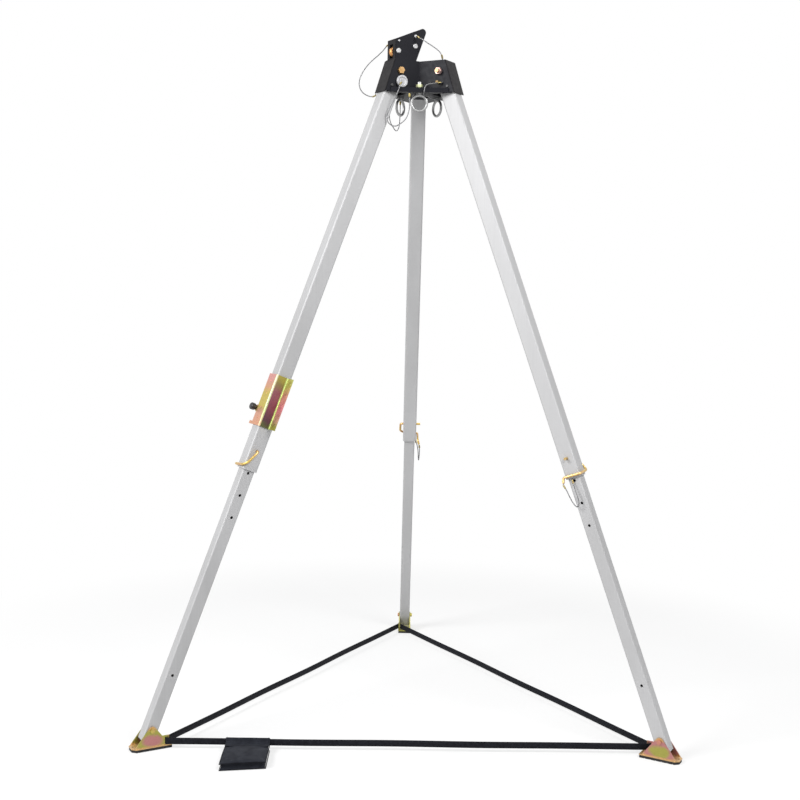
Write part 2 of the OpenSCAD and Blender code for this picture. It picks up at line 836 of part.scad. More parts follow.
module winch_bracket() {
  holes = 5;
  step = bracket_len / holes;
  tab_reach = 24;
  tab_h = 12;
  color("#c7a04e") leg(left) translate([0, 0, bracket_z]) difference() {
    union() {
      linear_extrude(bracket_len) polygon([
        [face_o, over_t], [face_o + bracket_t, over_t], [face_o + bracket_t, face_o + bracket_t],
        [flange_o, face_o + bracket_t], [flange_o, face_o + bracket_flange],
        [flange_o - bracket_t, face_o + bracket_flange], [flange_o - bracket_t, face_o], [face_o, face_o]
      ]);
      translate([face_o, over_t - tab_reach, 0]) cube([bracket_t, tab_reach + 1, tab_h]);
    }
    for (k = [0:holes - 1])
      translate([flange_o - bracket_t - 1, face_o + bracket_flange - 12, (k + 0.5) * step]) rotate([0, 90, 0])
        cylinder(d = winch_hole_d, h = bracket_t + 2);
  }
}

// Clamp plate on the tube's far side, with a round ear for the knob's screw
module bracket_clamp() {
  ear_d = clamp_knob_d - 1;
  color("#b8923f") leg(left) translate([0, 0, clamp_z]) difference() {
    union() {
      translate([-clamp_back, -face_o - clamp_t, -clamp_len / 2]) cube([face_o + clamp_back, clamp_t, clamp_len]);
      translate([face_o - clamp_t, clamp_knob_t, -ear_d / 2]) cube([clamp_t, -face_o - 1 - clamp_knob_t, ear_d]);
      translate([face_o - clamp_t, clamp_knob_t, 0]) rotate([0, 90, 0]) cylinder(d = ear_d, h = clamp_t);
    }
    translate([0, clamp_knob_t, 0]) rotate([0, 90, 0]) cylinder(d = clamp_screw_d + 2 * run_play, h = outer_w);
  }
}

module bracket_knob() {
  flutes = 6;
  seat = face_o + slip_play;
  screw_end = face_o - clamp_t - clamp_screw_back;
  color("#17181a") leg(left) translate([0, clamp_knob_t, clamp_z]) rotate([0, 90, 0]) {
    translate([0, 0, screw_end]) cylinder(d = clamp_screw_d, h = seat + clamp_knob_h / 2 - screw_end);
    difference() {
      translate([0, 0, seat]) rotate_extrude() polygon([
        [0, 0], [clamp_screw_d * 0.8, 0], [clamp_knob_d / 2 - 2, 8], [clamp_knob_d / 2, 11],
        [clamp_knob_d / 2, clamp_knob_h - 3], [clamp_knob_d / 2 - 3, clamp_knob_h], [0, clamp_knob_h]
      ]);
      for (k = [1:flutes]) rotate([0, 0, k * 360 / flutes])
        translate([clamp_knob_d / 2 + 1.5, 0, seat + 9]) cylinder(d = 7, h = clamp_knob_h);
    }
  }
}

// A span of the strap, from the slot of foot i to the slot of foot j
module strap_span(i, j) {
  from = strap_start(i);
  to = strap_end(j);
  angle = atan2(to[1] - from[1], to[0] - from[0]);
  color("#17181b") translate([from[0], from[1] + axis_y, foot_top + strap_up]) rotate([0, 0, angle])
    translate([0, -strap_t / 2, 0]) cube([norm(to - from), strap_t, strap_w]);
  color("#17181b") arm(i) translate([foot_r + slot_at - strap_t / 2, cheek_in - 1, foot_top + strap_up])
    cube([strap_t, foot_t + 2.5, strap_w]);
}

module strap_front() {
  strap_span(left, right);
}

module strap_right() {
  strap_span(right, rear);
}

module strap_left() {
  strap_span(rear, left);
}

// Pouch: a flap folded over the front strap, and a flat bag lying on the floor before it
module pouch() {
  flap_t = 3;
  gap = strap_t / 2 + 1.2;
  strap_top = foot_top + strap_up + strap_w;
  back_t = pouch_t - 8;
  color("#1a1b1f") translate([pouch_mid[0], pouch_mid[1] + axis_y, 0]) {
    rotate([0, 0, strap_angle]) translate([-pouch_w / 2, 0, 0]) difference() {
      translate([0, -gap - flap_t, 6]) cube([pouch_w, 2 * (gap + flap_t), strap_top + flap_t + 1 - 6]);
      translate([-1, -gap, 0]) cube([pouch_w + 2, 2 * gap, strap_top + 1]);
    }
    rotate([0, 0, pouch_angle]) difference() {
      translate([-pouch_w / 2, 0, 0]) rotate([90, 0, 90]) linear_extrude(pouch_w) polygon([
        [-pouch_len, 0], [-pouch_len, pouch_t - 4], [-pouch_len + 6, pouch_t], [-pouch_len / 2, pouch_t - 1],
        [-gap - flap_t, back_t], [-gap - flap_t, 0]
      ]);
      rotate([0, 0, -pouch_turn]) translate([-pouch_w, -gap - flap_t, -1]) cube([2 * pouch_w, pouch_w, 2 * pouch_t]);
    }
  }
}

// Smooth route through hand-chosen points
function route_point(p, k, u) =
  let (
    n = len(p), a = p[max(k - 1, 0)], b = p[k], c = p[min(k + 1, n - 1)], d = p[min(k + 2, n - 1)]
  )
  0.5 * (2 * b + (c - a) * u + (2 * a - 5 * b + 4 * c - d) * u * u + (3 * b - a - 3 * c + d) * u * u * u);

function route(p, steps) = concat(
  [for (k = [0:len(p) - 2], s = [0:steps - 1]) route_point(p, k, s / steps)], [p[len(p) - 1]]
);

function unit(v) = v / norm(v);

// Frames carried along the route without twist
function carry(q, k, u) = k == len(q) - 1 ? [u] : concat([u], carry(q, k + 1, let (
  t = unit(q[min(k + 2, len(q) - 1)] - q[k]), w = u - (u * t) * t
) unit(w)));

// Straight runs joined by rounded bends
function rounded(p, f, n) = concat(
  [p[0]],
  [for (k = [1:len(p) - 2]) let (
    a = p[k] + f * unit(p[k - 1] - p[k]), b = p[k] + f * unit(p[k + 1] - p[k])
  ) each [for (s = [0:n]) let (u = s / n) (1 - u) * (1 - u) * a + 2 * u * (1 - u) * p[k] + u * u * b]],
  [p[len(p) - 1]]
);

// A round bar of many flat sides, swept through the points q
module swept(q, d, sides) {
  n = len(q);
  t0 = unit(q[1] - q[0]);
  start = unit(cross(t0, abs(t0[2]) < 0.9 ? [0, 0, 1] : [1, 0, 0]));
  ups = carry(q, 0, start);
  points = [for (k = [0:n - 1]) let (
    t = unit(q[min(k + 1, n - 1)] - q[max(k - 1, 0)]), u = ups[k], v = cross(t, u)
  ) each [for (s = [0:sides - 1]) q[k] + d / 2 * (cos(s * 360 / sides) * u + sin(s * 360 / sides) * v)]];
  walls = [for (k = [0:n - 2], s = [0:sides - 1]) let (
    a = k * sides + s, b = k * sides + (s + 1) % sides
  ) each [[a, b + sides, b], [a, a + sides, b + sides]]];
  caps = [[for (s = [0:sides - 1]) s], [for (s = [sides - 1:-1:0]) (n - 1) * sides + s]];
  polyhedron(points, concat(walls, caps));
}

module wire(p) {
  swept(route(p, 2), wire_d, 8);
}

// Lanyard routes. The head's are heights above the leg pivots, with either the distances outside
// and across a leg pivot or the tripod's own x and y; the adjust pins' are from the pin.
keeper_outer_route = [
  [12, -27.6, 111], [13, -36, 109], [19, -46, 101], [31, -52, 84], [53, -56, 62], [77, -59, 40],
  [97, -60, 18], [115, -60, -8], [127, -60, -36], [127, -60, -60], [117, -58, -80], [99, -52, -93],
  [83, -42, -98], [72, -34, -95], [69, -30, -85.4]
];
keeper_inner_route = [
  [-16, -64.2, 136], [-13, -70, 134], [-4, -80, 126], [12, -88, 116], [28, -92, 105], [44, -94, 95],
  [62, -95, 83], [76, -96, 70], [83, -96, 58], [85.4, -92.4, 49], [86, -88.6, 41]
];
lock_left_route = [
  [-69.6, -103.5, -50], [-71, -109, -51], [-73, -115, -53], [-76, -119, -60], [-80, -120, -76],
  [-91, -120, -101], [-102, -119, -126], [-114, -119, -152], [-124, -118, -178], [-120, -118, -200],
  [-108, -118, -213], [-90, -117, -217], [-73, -115, -208], [-57, -113, -195], [-45, -110, -176],
  [-38, -108, -146], [-38, -106, -118], [-38, -104, -85.4]
];
lock_right_route = [
  [17, -41.3, -43], [9, -52, -46], [-3, -64, -49], [-15, -74, -52], [-22, -84, -55], [-27, -94, -61],
  [-30, -98, -72], [-32, -98, -84], [-36, -94, -94], [-39, -84, -98], [-37, -62, -95], [-49, -32, -93],
  [-57, 0, -93], [-53, 34, -94], [-32, 58, -95], [-12, 74, -95], [-1, 84, -90], [3, 84, -79], [4, 79, -67],
  [1, 68, -59], [-1.6, 55, -54]
];
lock_rear_route = [
  [-54.8, 104, -58], [-62, 106, -55], [-76, 107, -53], [-90, 104, -60], [-100, 98, -85], [-110, 92, -115],
  [-117, 85, -148], [-112, 80, -176], [-101, 76, -196], [-89, 74, -210], [-79, 72, -200], [-75, 70, -170],
  [-74, 68, -135], [-74, 66, -105], [-74, 66, -85.4]
];
adjust_route = [
  [-38, -44.2, -86.8], [-39, -46, -94], [-36, -47, -104], [-32, -48, -118], [-29, -48, -140],
  [-25, -47, -162], [-18, -46, -180], [-11, -45, -184], [-4, -44, -176], [-1, -43, -158], [-2, -41, -134],
  [-4, -36, -108], [-5, -30, -90], [-5, -28.5, -77.4]
];

module keeper_lanyard_outer() {
  color("#9b9ca0") arm(left) translate([pivot_r, 0, pivot_z]) wire(keeper_outer_route);
}

module keeper_lanyard_inner() {
  color("#9b9ca0") translate([0, axis_y, pivot_z]) wire(keeper_inner_route);
}

module lock_lanyard_left() {
  color("#9b9ca0") translate([0, axis_y, pivot_z]) wire(lock_left_route);
}

module lock_lanyard_right() {
  color("#9b9ca0") arm(right) translate([pivot_r, 0, pivot_z]) wire(lock_right_route);
}

module lock_lanyard_rear() {
  color("#9b9ca0") translate([0, axis_y, pivot_z]) wire(lock_rear_route);
}

module adjust_lanyard_left() {
  color("#9b9ca0") leg(left) translate([0, 0, -pin_s]) wire(adjust_route);
}

module adjust_lanyard_right() {
  color("#9b9ca0") leg(right) translate([0, 0, -pin_s]) wire(adjust_route);
}

module adjust_lanyard_rear() {
  color("#9b9ca0") leg(rear) translate([0, 0, -pin_s]) wire(adjust_route);
}

head_front_plate();
head_left_plate();
head_right_plate();
head_web_left();
head_web_right();
head_web_rear();
head_base_plate();
housing_rear_plate();
sheave_outer();
sheave_inner();
sheave_axles();
sheave_spacers();
keeper_pin_outer();
keeper_pin_inner();
leg_pivot_bolts();
leg_pivot_nuts();
leg_washers();
side_guides();
guide_screws();
lock_pin_left();
lock_pin_right();
lock_pin_rear();
anchor_eyes();
eye_nuts();
outer_tube_left();
outer_tube_right();
outer_tube_rear();
tube_bush_left();
tube_bush_right();
tube_bush_rear();
inner_tube_left();
inner_tube_right();
inner_tube_rear();
adjust_pin_left();
adjust_pin_right();
adjust_pin_rear();
foot_bracket_left();
foot_bracket_right();
foot_bracket_rear();
foot_bolt_left();
foot_bolt_right();
foot_bolt_rear();
foot_pad_left();
foot_pad_right();
foot_pad_rear();
winch_bracket();
bracket_clamp();
bracket_knob();
strap_front();
strap_right();
strap_left();
pouch();
keeper_lanyard_outer();
keeper_lanyard_inner();
lock_lanyard_left();
lock_lanyard_right();
lock_lanyard_rear();
adjust_lanyard_left();
adjust_lanyard_right();
adjust_lanyard_rear();
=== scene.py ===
import json
import math
import bpy
import bmesh
from mathutils import Euler, Matrix, Vector
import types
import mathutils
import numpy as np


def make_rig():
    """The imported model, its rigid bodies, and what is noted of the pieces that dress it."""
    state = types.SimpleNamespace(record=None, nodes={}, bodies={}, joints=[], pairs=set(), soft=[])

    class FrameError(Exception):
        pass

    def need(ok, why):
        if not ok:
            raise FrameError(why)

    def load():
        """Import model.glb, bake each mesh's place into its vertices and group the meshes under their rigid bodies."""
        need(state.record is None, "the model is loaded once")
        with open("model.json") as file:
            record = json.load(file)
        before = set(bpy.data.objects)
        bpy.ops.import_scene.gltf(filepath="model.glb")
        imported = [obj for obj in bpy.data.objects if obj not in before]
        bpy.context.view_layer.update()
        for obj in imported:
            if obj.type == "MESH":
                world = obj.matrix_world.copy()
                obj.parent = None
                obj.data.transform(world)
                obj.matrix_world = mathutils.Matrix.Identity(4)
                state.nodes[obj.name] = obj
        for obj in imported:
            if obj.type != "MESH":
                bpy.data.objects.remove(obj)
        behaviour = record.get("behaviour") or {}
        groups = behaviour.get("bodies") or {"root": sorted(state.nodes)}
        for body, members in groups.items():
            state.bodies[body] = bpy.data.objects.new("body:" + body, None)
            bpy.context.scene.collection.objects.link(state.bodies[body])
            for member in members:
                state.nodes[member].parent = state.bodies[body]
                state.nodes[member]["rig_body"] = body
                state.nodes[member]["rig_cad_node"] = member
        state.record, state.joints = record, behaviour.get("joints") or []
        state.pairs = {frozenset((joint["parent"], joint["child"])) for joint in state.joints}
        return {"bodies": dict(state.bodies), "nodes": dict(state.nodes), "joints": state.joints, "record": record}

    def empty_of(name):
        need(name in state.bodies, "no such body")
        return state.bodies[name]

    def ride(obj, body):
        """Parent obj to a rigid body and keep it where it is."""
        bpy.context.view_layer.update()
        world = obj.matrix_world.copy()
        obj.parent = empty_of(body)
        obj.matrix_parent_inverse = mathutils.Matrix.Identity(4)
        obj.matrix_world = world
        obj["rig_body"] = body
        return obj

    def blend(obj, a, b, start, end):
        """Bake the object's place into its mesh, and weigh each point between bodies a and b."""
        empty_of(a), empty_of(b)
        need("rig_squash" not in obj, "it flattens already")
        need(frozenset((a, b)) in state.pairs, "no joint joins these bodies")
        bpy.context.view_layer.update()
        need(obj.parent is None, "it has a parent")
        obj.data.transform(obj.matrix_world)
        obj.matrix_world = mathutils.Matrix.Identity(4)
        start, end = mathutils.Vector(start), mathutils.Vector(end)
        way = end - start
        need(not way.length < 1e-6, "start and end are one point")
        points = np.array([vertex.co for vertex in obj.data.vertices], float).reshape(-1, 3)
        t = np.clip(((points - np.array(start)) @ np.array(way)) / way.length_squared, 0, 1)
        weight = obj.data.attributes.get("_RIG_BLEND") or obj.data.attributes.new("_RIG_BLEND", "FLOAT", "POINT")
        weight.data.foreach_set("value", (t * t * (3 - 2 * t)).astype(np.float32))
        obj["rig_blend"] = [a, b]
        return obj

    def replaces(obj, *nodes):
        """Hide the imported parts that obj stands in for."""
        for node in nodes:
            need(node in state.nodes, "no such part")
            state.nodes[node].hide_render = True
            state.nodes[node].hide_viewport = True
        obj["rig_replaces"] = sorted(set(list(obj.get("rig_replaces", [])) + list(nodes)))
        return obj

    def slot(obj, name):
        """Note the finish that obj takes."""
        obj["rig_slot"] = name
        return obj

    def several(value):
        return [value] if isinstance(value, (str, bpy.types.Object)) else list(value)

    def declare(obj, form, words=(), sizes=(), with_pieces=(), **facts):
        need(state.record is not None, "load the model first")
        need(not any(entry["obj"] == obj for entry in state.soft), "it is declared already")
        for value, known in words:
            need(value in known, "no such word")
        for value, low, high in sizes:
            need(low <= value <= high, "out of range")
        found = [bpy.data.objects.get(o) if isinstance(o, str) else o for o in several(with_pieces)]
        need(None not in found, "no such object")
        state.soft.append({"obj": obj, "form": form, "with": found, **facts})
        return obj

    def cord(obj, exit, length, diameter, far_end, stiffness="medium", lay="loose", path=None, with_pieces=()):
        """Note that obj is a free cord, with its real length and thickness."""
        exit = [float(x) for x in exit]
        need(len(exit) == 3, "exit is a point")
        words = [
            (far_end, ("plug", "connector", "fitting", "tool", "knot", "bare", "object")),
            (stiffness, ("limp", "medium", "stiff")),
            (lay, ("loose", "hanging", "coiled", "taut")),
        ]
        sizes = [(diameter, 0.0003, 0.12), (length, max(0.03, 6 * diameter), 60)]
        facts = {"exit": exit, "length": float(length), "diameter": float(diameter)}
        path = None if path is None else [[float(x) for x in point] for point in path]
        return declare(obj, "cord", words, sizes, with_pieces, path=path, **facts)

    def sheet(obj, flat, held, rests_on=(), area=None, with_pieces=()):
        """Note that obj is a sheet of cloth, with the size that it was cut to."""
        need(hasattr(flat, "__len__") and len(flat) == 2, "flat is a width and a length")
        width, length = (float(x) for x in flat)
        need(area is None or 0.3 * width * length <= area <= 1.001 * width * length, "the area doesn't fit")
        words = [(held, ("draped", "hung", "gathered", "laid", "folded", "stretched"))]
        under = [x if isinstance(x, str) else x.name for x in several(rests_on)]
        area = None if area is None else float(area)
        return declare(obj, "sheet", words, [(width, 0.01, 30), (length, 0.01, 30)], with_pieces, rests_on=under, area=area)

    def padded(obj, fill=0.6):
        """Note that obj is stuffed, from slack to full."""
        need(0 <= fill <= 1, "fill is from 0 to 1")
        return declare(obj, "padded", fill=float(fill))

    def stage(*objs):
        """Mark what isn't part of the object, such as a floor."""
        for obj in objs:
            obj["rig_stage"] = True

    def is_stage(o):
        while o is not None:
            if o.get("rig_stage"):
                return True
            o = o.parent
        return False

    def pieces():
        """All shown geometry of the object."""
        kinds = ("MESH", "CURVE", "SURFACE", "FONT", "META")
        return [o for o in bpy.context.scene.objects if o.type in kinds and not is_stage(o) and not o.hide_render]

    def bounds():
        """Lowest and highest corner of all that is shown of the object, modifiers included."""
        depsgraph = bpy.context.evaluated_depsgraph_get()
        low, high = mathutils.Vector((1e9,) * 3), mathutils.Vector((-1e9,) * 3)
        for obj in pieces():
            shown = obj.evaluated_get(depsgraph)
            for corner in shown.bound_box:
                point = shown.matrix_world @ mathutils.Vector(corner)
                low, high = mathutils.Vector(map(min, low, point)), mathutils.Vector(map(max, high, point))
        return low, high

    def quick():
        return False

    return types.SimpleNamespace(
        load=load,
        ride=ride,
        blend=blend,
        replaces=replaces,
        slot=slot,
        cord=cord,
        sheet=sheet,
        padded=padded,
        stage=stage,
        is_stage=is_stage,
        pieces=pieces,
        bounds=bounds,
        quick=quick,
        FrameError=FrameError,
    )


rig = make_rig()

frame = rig.load()
cadLow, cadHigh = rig.bounds()
nodes = frame["nodes"]
scene = bpy.context.scene
scene.view_settings.view_transform = "Standard"
print("frame loaded,", len(nodes), "nodes")

# metres; the tripod's axis stands at axisY, so that the whole is centred on the origin
tripod = {
    "pivotZ": 2.552,
    "pivotR": 0.109,
    "legAngle": math.radians(21.6),
    "axisY": -0.209555,
    "footR": 1.09011,
    "legLength": 2.665157,
    "pinDown": 1.575,
    "legs": {"left": 210, "right": 330, "rear": 90},
}


def outward(leg):
    a = math.radians(tripod["legs"][leg])
    return Vector((math.cos(a), math.sin(a), 0))


def across(leg):
    a = math.radians(tripod["legs"][leg])
    return Vector((-math.sin(a), math.cos(a), 0))


def axisPoint(leg, x, y, up):  # plain x and y from the axis, whatever the leg; height above the leg pivots
    return Vector((x, y + tripod["axisY"], tripod["pivotZ"] + up))


def armPoint(leg, r, t, up):  # along and across an arm, height above the leg pivots
    return axisPoint(leg, 0, 0, up) + outward(leg) * r + across(leg) * t


def legPoint(leg, o, t, up):  # out from the leg, across it and up it, from its pivot
    c, s = math.cos(tripod["legAngle"]), math.sin(tripod["legAngle"])
    return armPoint(leg, tripod["pivotR"] + o * c - up * s, t, o * s + up * c)


def pinPoint(leg, o, t, up):  # as legPoint, from the adjust pin
    return legPoint(leg, o, t, up - tripod["pinDown"])


def floorPoint(leg, r, t, z):  # from the foot's pivot along and across the foot, height above the floor
    return armPoint(leg, tripod["footR"] + r, t, z - tripod["pivotZ"])


def legFrame(leg, origin=(0, 0, 0)):  # leg-aligned axes at a point: out, across, up the leg
    c, s = math.cos(tripod["legAngle"]), math.sin(tripod["legAngle"])
    o = outward(leg) * c + Vector((0, 0, s))
    z = Vector((0, 0, c)) - outward(leg) * s
    return Matrix.Translation(origin) @ Matrix((o, across(leg), z)).transposed().to_4x4()


def armFrame(leg, origin):  # level axes at a point: out, across, up
    axes = Matrix((outward(leg), across(leg), (0, 0, 1)))
    return Matrix.Translation(origin) @ axes.transposed().to_4x4()


# camera at the photograph's angle
view = {
    "lens": 54.0, "sensor": 36.0, "place": (-0.054726, -5.049822, 1.702502),
    "yaw": 0.0012377, "pitch": -0.091151, "roll": -0.02229,
}
cameraData = bpy.data.cameras.new("camera")
cameraData.lens = view["lens"]
cameraData.sensor_width = view["sensor"]
cameraObj = bpy.data.objects.new("camera", cameraData)
scene.collection.objects.link(cameraObj)
cameraObj.matrix_world = (
    Matrix.Translation(view["place"])
    @ Euler((math.pi / 2 + view["pitch"], 0, -view["yaw"])).to_matrix().to_4x4()
    @ Matrix.Rotation(-view["roll"], 4, "Z")
)
scene.camera = cameraObj
print("camera set")


# node helpers for the materials
def startMaterial(name, base, metal, rough, shine=0.5, sheen=0.0):
    mat = bpy.data.materials.new(name)
    mat.use_nodes = True
    shader = mat.node_tree.nodes["Principled BSDF"]
    values = {
        "Base Color": (*base, 1), "Metallic": metal, "Roughness": rough, "Specular IOR Level": shine,
        "Sheen Weight": sheen}
    for socket, value in values.items():
        shader.inputs[socket].default_value = value
    return mat, mat.node_tree, shader


def node(kind, inputs, tree=None, **settings):
    # new node in the given tree, or in that of the sockets linked to it; gives its outputs
    def isSocket(value):
        return isinstance(value, bpy.types.NodeSocket)

    tree = tree or next(v.id_data for v in inputs.values() if isSocket(v))
    made = tree.nodes.new("ShaderNode" + kind)
    for name, value in settings.items():
        setattr(made, name, value)
    for key, value in inputs.items():
        if isSocket(value):
            tree.links.new(value, made.inputs[key])
        else:
            made.inputs[key].default_value = value
    return made.outputs


def placed(tree, turn=(0, 0, 0), scale=(1, 1, 1), source="Object", shift=(0, 0, 0)):
    coord = node("TexCoord", {}, tree)[source]
    return node("Mapping", {"Vector": coord, "Location": shift, "Rotation": turn, "Scale": scale})["Vector"]


def noise(vector, scale, detail=3.0, rough=0.5, warp=0.0):
    return node("TexNoise", {
        "Vector": vector, "Scale": scale, "Detail": detail, "Roughness": rough, "Distortion": warp})["Fac"]


def ramp(value, stops):
    out = node("ValToRGB", {"Fac": value})["Color"]
    marks = out.node.color_ramp.elements
    while len(marks) < len(stops):
        marks.new(0.5)
    for mark, (place, colour) in zip(marks, stops):
        mark.position = place
        mark.color = (*colour, 1) if hasattr(colour, "__len__") else (colour, colour, colour, 1)
    return out


def math2(what, a, b=None):
    return node("Math", {0: a} if b is None else {0: a, 1: b}, operation=what)["Value"]


def mixed(share, a, b, how="MIX"):
    a, b = ((*v, 1) if isinstance(v, tuple) else v for v in (a, b))
    return node("Mix", {0: share, 6: a, 7: b}, data_type="RGBA", blend_type=how)[2]


def feed(shader, socket, value):
    shader.id_data.links.new(value, shader.inputs[socket])


def bump(shader, height, strength, distance):
    made = node("Bump", {"Strength": strength, "Distance": distance, "Height": height})
    feed(shader, "Normal", made["Normal"])


def coatedSteel(name, dark, light, rough):
    # satin black powder coat: faint orange peel, dusty patches
    mat, tree, shader = startMaterial(name, dark, 0.0, rough, 0.12)
    flat = placed(tree)
    gloss = [(0.3, rough - 0.06), (0.7, rough + 0.08)]
    feed(shader, "Base Color", ramp(noise(flat, 9, 5), [(0.3, dark), (0.75, light)]))
    feed(shader, "Roughness", ramp(noise(flat, 60, 3), gloss))
    bump(shader, noise(flat, 900, 2), 0.25, 0.0003)
    return mat


def drawnTube(leg):
    # drawn aluminium: fine lines along the leg, faint cloudy staining
    mat, tree, shader = startMaterial("tube_" + leg, (0.43, 0.43, 0.436), 0.22, 0.58, 0.2)
    turn = legFrame(leg).inverted().to_euler()
    lines = noise(placed(tree, turn, (420, 420, 3)), 1.0, 3)
    cloud = noise(placed(tree, turn, (6, 6, 1.4)), 1.0, 4)
    tone = ramp(cloud, [(0.3, (0.405, 0.404, 0.408)), (0.75, (0.462, 0.462, 0.468))])
    share = ramp(lines, [(0.35, 0.0), (0.7, 0.16)])
    feed(shader, "Base Color", mixed(share, tone, (0.33, 0.33, 0.335)))
    feed(shader, "Roughness", ramp(lines, [(0.2, 0.48), (0.8, 0.62)]))
    bump(shader, lines, 0.12, 0.0002)
    return mat


def splitAxes(vector):
    split = node("SeparateXYZ", {"Vector": vector})
    return split["X"], split["Y"], split["Z"]


def localAxes(tree, place):
    # the coordinates of a matrix's own frame, split
    back = place.inverted()
    return splitAxes(placed(tree, back.to_euler(), shift=back.translation))


def plated(shader, hue, rough):
    # what the chromated pieces share: fine speckle, uneven gloss, slight roughness of the plating
    flat = placed(shader.id_data)
    speck = ramp(noise(flat, 240, 3), [(0.35, 0.88), (0.65, 1.0)])
    feed(shader, "Base Color", mixed(1.0, hue, speck, "MULTIPLY"))
    gloss = [(0.3, rough - 0.08), (0.75, rough + 0.12)]
    feed(shader, "Roughness", ramp(noise(flat, 45, 4), gloss))
    bump(shader, noise(flat, 500, 2), 0.15, 0.0002)


def passivatedZinc(name, stops, scale, rough=0.34):
    # yellow chromate over zinc: hue drifts from olive to gold to rose
    mat, tree, shader = startMaterial(name, stops[1][1], 0.78, rough)
    plated(shader, ramp(noise(placed(tree), scale, 2, 0.45, 0.6), stops), rough)
    return mat


footHue = {
    "halfLength": 0.060, "midHeight": 0.036, "halfHeight": 0.040, "drift": 0.55, "spread": 0.6,
    "lowScale": 10.0,
}


def footZinc(leg, middle, border, corner):
    # chromated foot: one hue in the middle of the cheeks, another round their edges, gold at the base
    mat, tree, shader = startMaterial("foot_zinc_" + leg, middle, 0.7, 0.4)
    along, _, up = localAxes(tree, armFrame(leg, floorPoint(leg, 0, 0, 0)))

    def squared(value, size):
        share = math2("ABSOLUTE", math2("MULTIPLY", value, 1 / size))
        return math2("POWER", share, 2.0)

    a = squared(along, footHue["halfLength"])
    b = squared(math2("SUBTRACT", up, footHue["midHeight"]), footHue["halfHeight"])
    drift = math2("MULTIPLY", noise(placed(tree), 30, 2, 0.5, 0.5), footHue["drift"])
    reach = math2("ADD", math2("ADD", a, b), drift)
    stops = [(0.28, middle), (0.46, border), (0.66, border), (0.95, corner)]
    hue = ramp(math2("MULTIPLY", reach, footHue["spread"]), stops)
    low = ramp(math2("MULTIPLY", up, footHue["lowScale"]), [(0.13, 0.0), (0.2, 1.0)])
    plated(shader, mixed(low, corner, hue), 0.36)
    return mat


# winch bracket, in the left leg's axes from its lower end: lengths, bends and where its hues, its painted shade and
# its painted highlights change
bracket = {
    "length": 0.205, "low": -1.482, "face": 0.034, "rivet": 0.0028, "rivetSide": -0.004, "rivetFlat": 0.55,
    "rivetsUp": (0.03, 0.072, 0.128, 0.178),
    "bendRadius": 0.0055, "bendLength": 0.19, "bendNear": 1e-3,
    "bends": [(0.030, 0.030), (-0.016, 0.030), (0.034, 0.034), (-0.012, 0.034)],
    "foldOut": 0.0285, "flangeOut": -0.0115, "cornerOut": 0.0270, "cornerSide": 0.0255,
    "rootOut": -0.0075, "rootSide": 0.0400, "drift": 0.22,
}


def bracketZinc(place):
    # chromated winch bracket: hue runs along it, painted shade deep in the fold, painted highlights on the bends
    mat, tree, shader = startMaterial("bracket_zinc", (0.6, 0.35, 0.2), 0.7, 0.38)
    out, side, up = localAxes(tree, place)
    drift = math2("MULTIPLY", noise(placed(tree), 18, 2, 0.5, 0.6), bracket["drift"])
    centred = math2("SUBTRACT", drift, bracket["drift"] / 2)
    run = math2("ADD", math2("MULTIPLY", up, 1 / bracket["length"]), centred)

    def both(a, b):
        return math2("MULTIPLY", a, b)

    def below(value, limit):
        return math2("LESS_THAN", value, bracket[limit])

    def above(value, limit):
        return math2("GREATER_THAN", value, bracket[limit])

    strip = ramp(run, [
        (0.05, (0.62, 0.32, 0.20)), (0.24, (0.62, 0.33, 0.24)), (0.36, (0.52, 0.42, 0.10)),
        (0.62, (0.50, 0.40, 0.09)), (0.74, (0.58, 0.32, 0.18)), (0.92, (0.60, 0.29, 0.26))])
    # the plating's rose and olive, darkened as painted shade in the recessed fold
    fold = ramp(run, [
        (0.03, (0.10, 0.11, 0.04)), (0.14, (0.11, 0.05, 0.07)), (0.4, (0.22, 0.07, 0.09)),
        (0.7, (0.28, 0.11, 0.13)), (0.86, (0.26, 0.20, 0.08)), (0.96, (0.36, 0.30, 0.07))])
    flange = ramp(run, [
        (0.05, (0.34, 0.32, 0.06)), (0.18, (0.50, 0.32, 0.19)), (0.42, (0.66, 0.22, 0.25)),
        (0.66, (0.60, 0.29, 0.20)), (0.86, (0.46, 0.42, 0.11)), (0.97, (0.50, 0.50, 0.16))])
    # pale olive on the outer bends: painted highlight over the plating's hue
    bendHighlight = ramp(run, [
        (0.04, (0.56, 0.40, 0.25)), (0.25, (0.46, 0.54, 0.22)), (0.5, (0.52, 0.57, 0.34)),
        (0.8, (0.58, 0.54, 0.34))])
    # the recessed fold takes the dark colours: painted shade
    hue = mixed(below(out, "foldOut"), strip, fold)
    hue = mixed(below(out, "flangeOut"), hue, flange)
    # the outer bends take the pale colours: painted highlight
    hue = mixed(both(above(out, "cornerOut"), above(side, "cornerSide")), hue, bendHighlight)
    hue = mixed(both(below(out, "rootOut"), below(side, "rootSide")), hue, (0.34, 0.40, 0.12))
    plated(shader, hue, 0.44)
    return mat


def paleZinc(name, low, high, rough):
    # galvanised or plated steel with small spangle
    mat, tree, shader = startMaterial(name, high, 0.9, rough)
    flat = placed(tree)
    cell = node("TexVoronoi", {"Scale": 180, "Vector": flat})["Color"]
    blotch = mixed(0.5, noise(flat, 70, 4), cell)
    feed(shader, "Base Color", ramp(blotch, [(0.25, low), (0.7, high)]))
    feed(shader, "Roughness", ramp(blotch, [(0.2, rough + 0.12), (0.8, rough - 0.05)]))
    bump(shader, noise(flat, 420, 3), 0.1, 0.0002)
    return mat


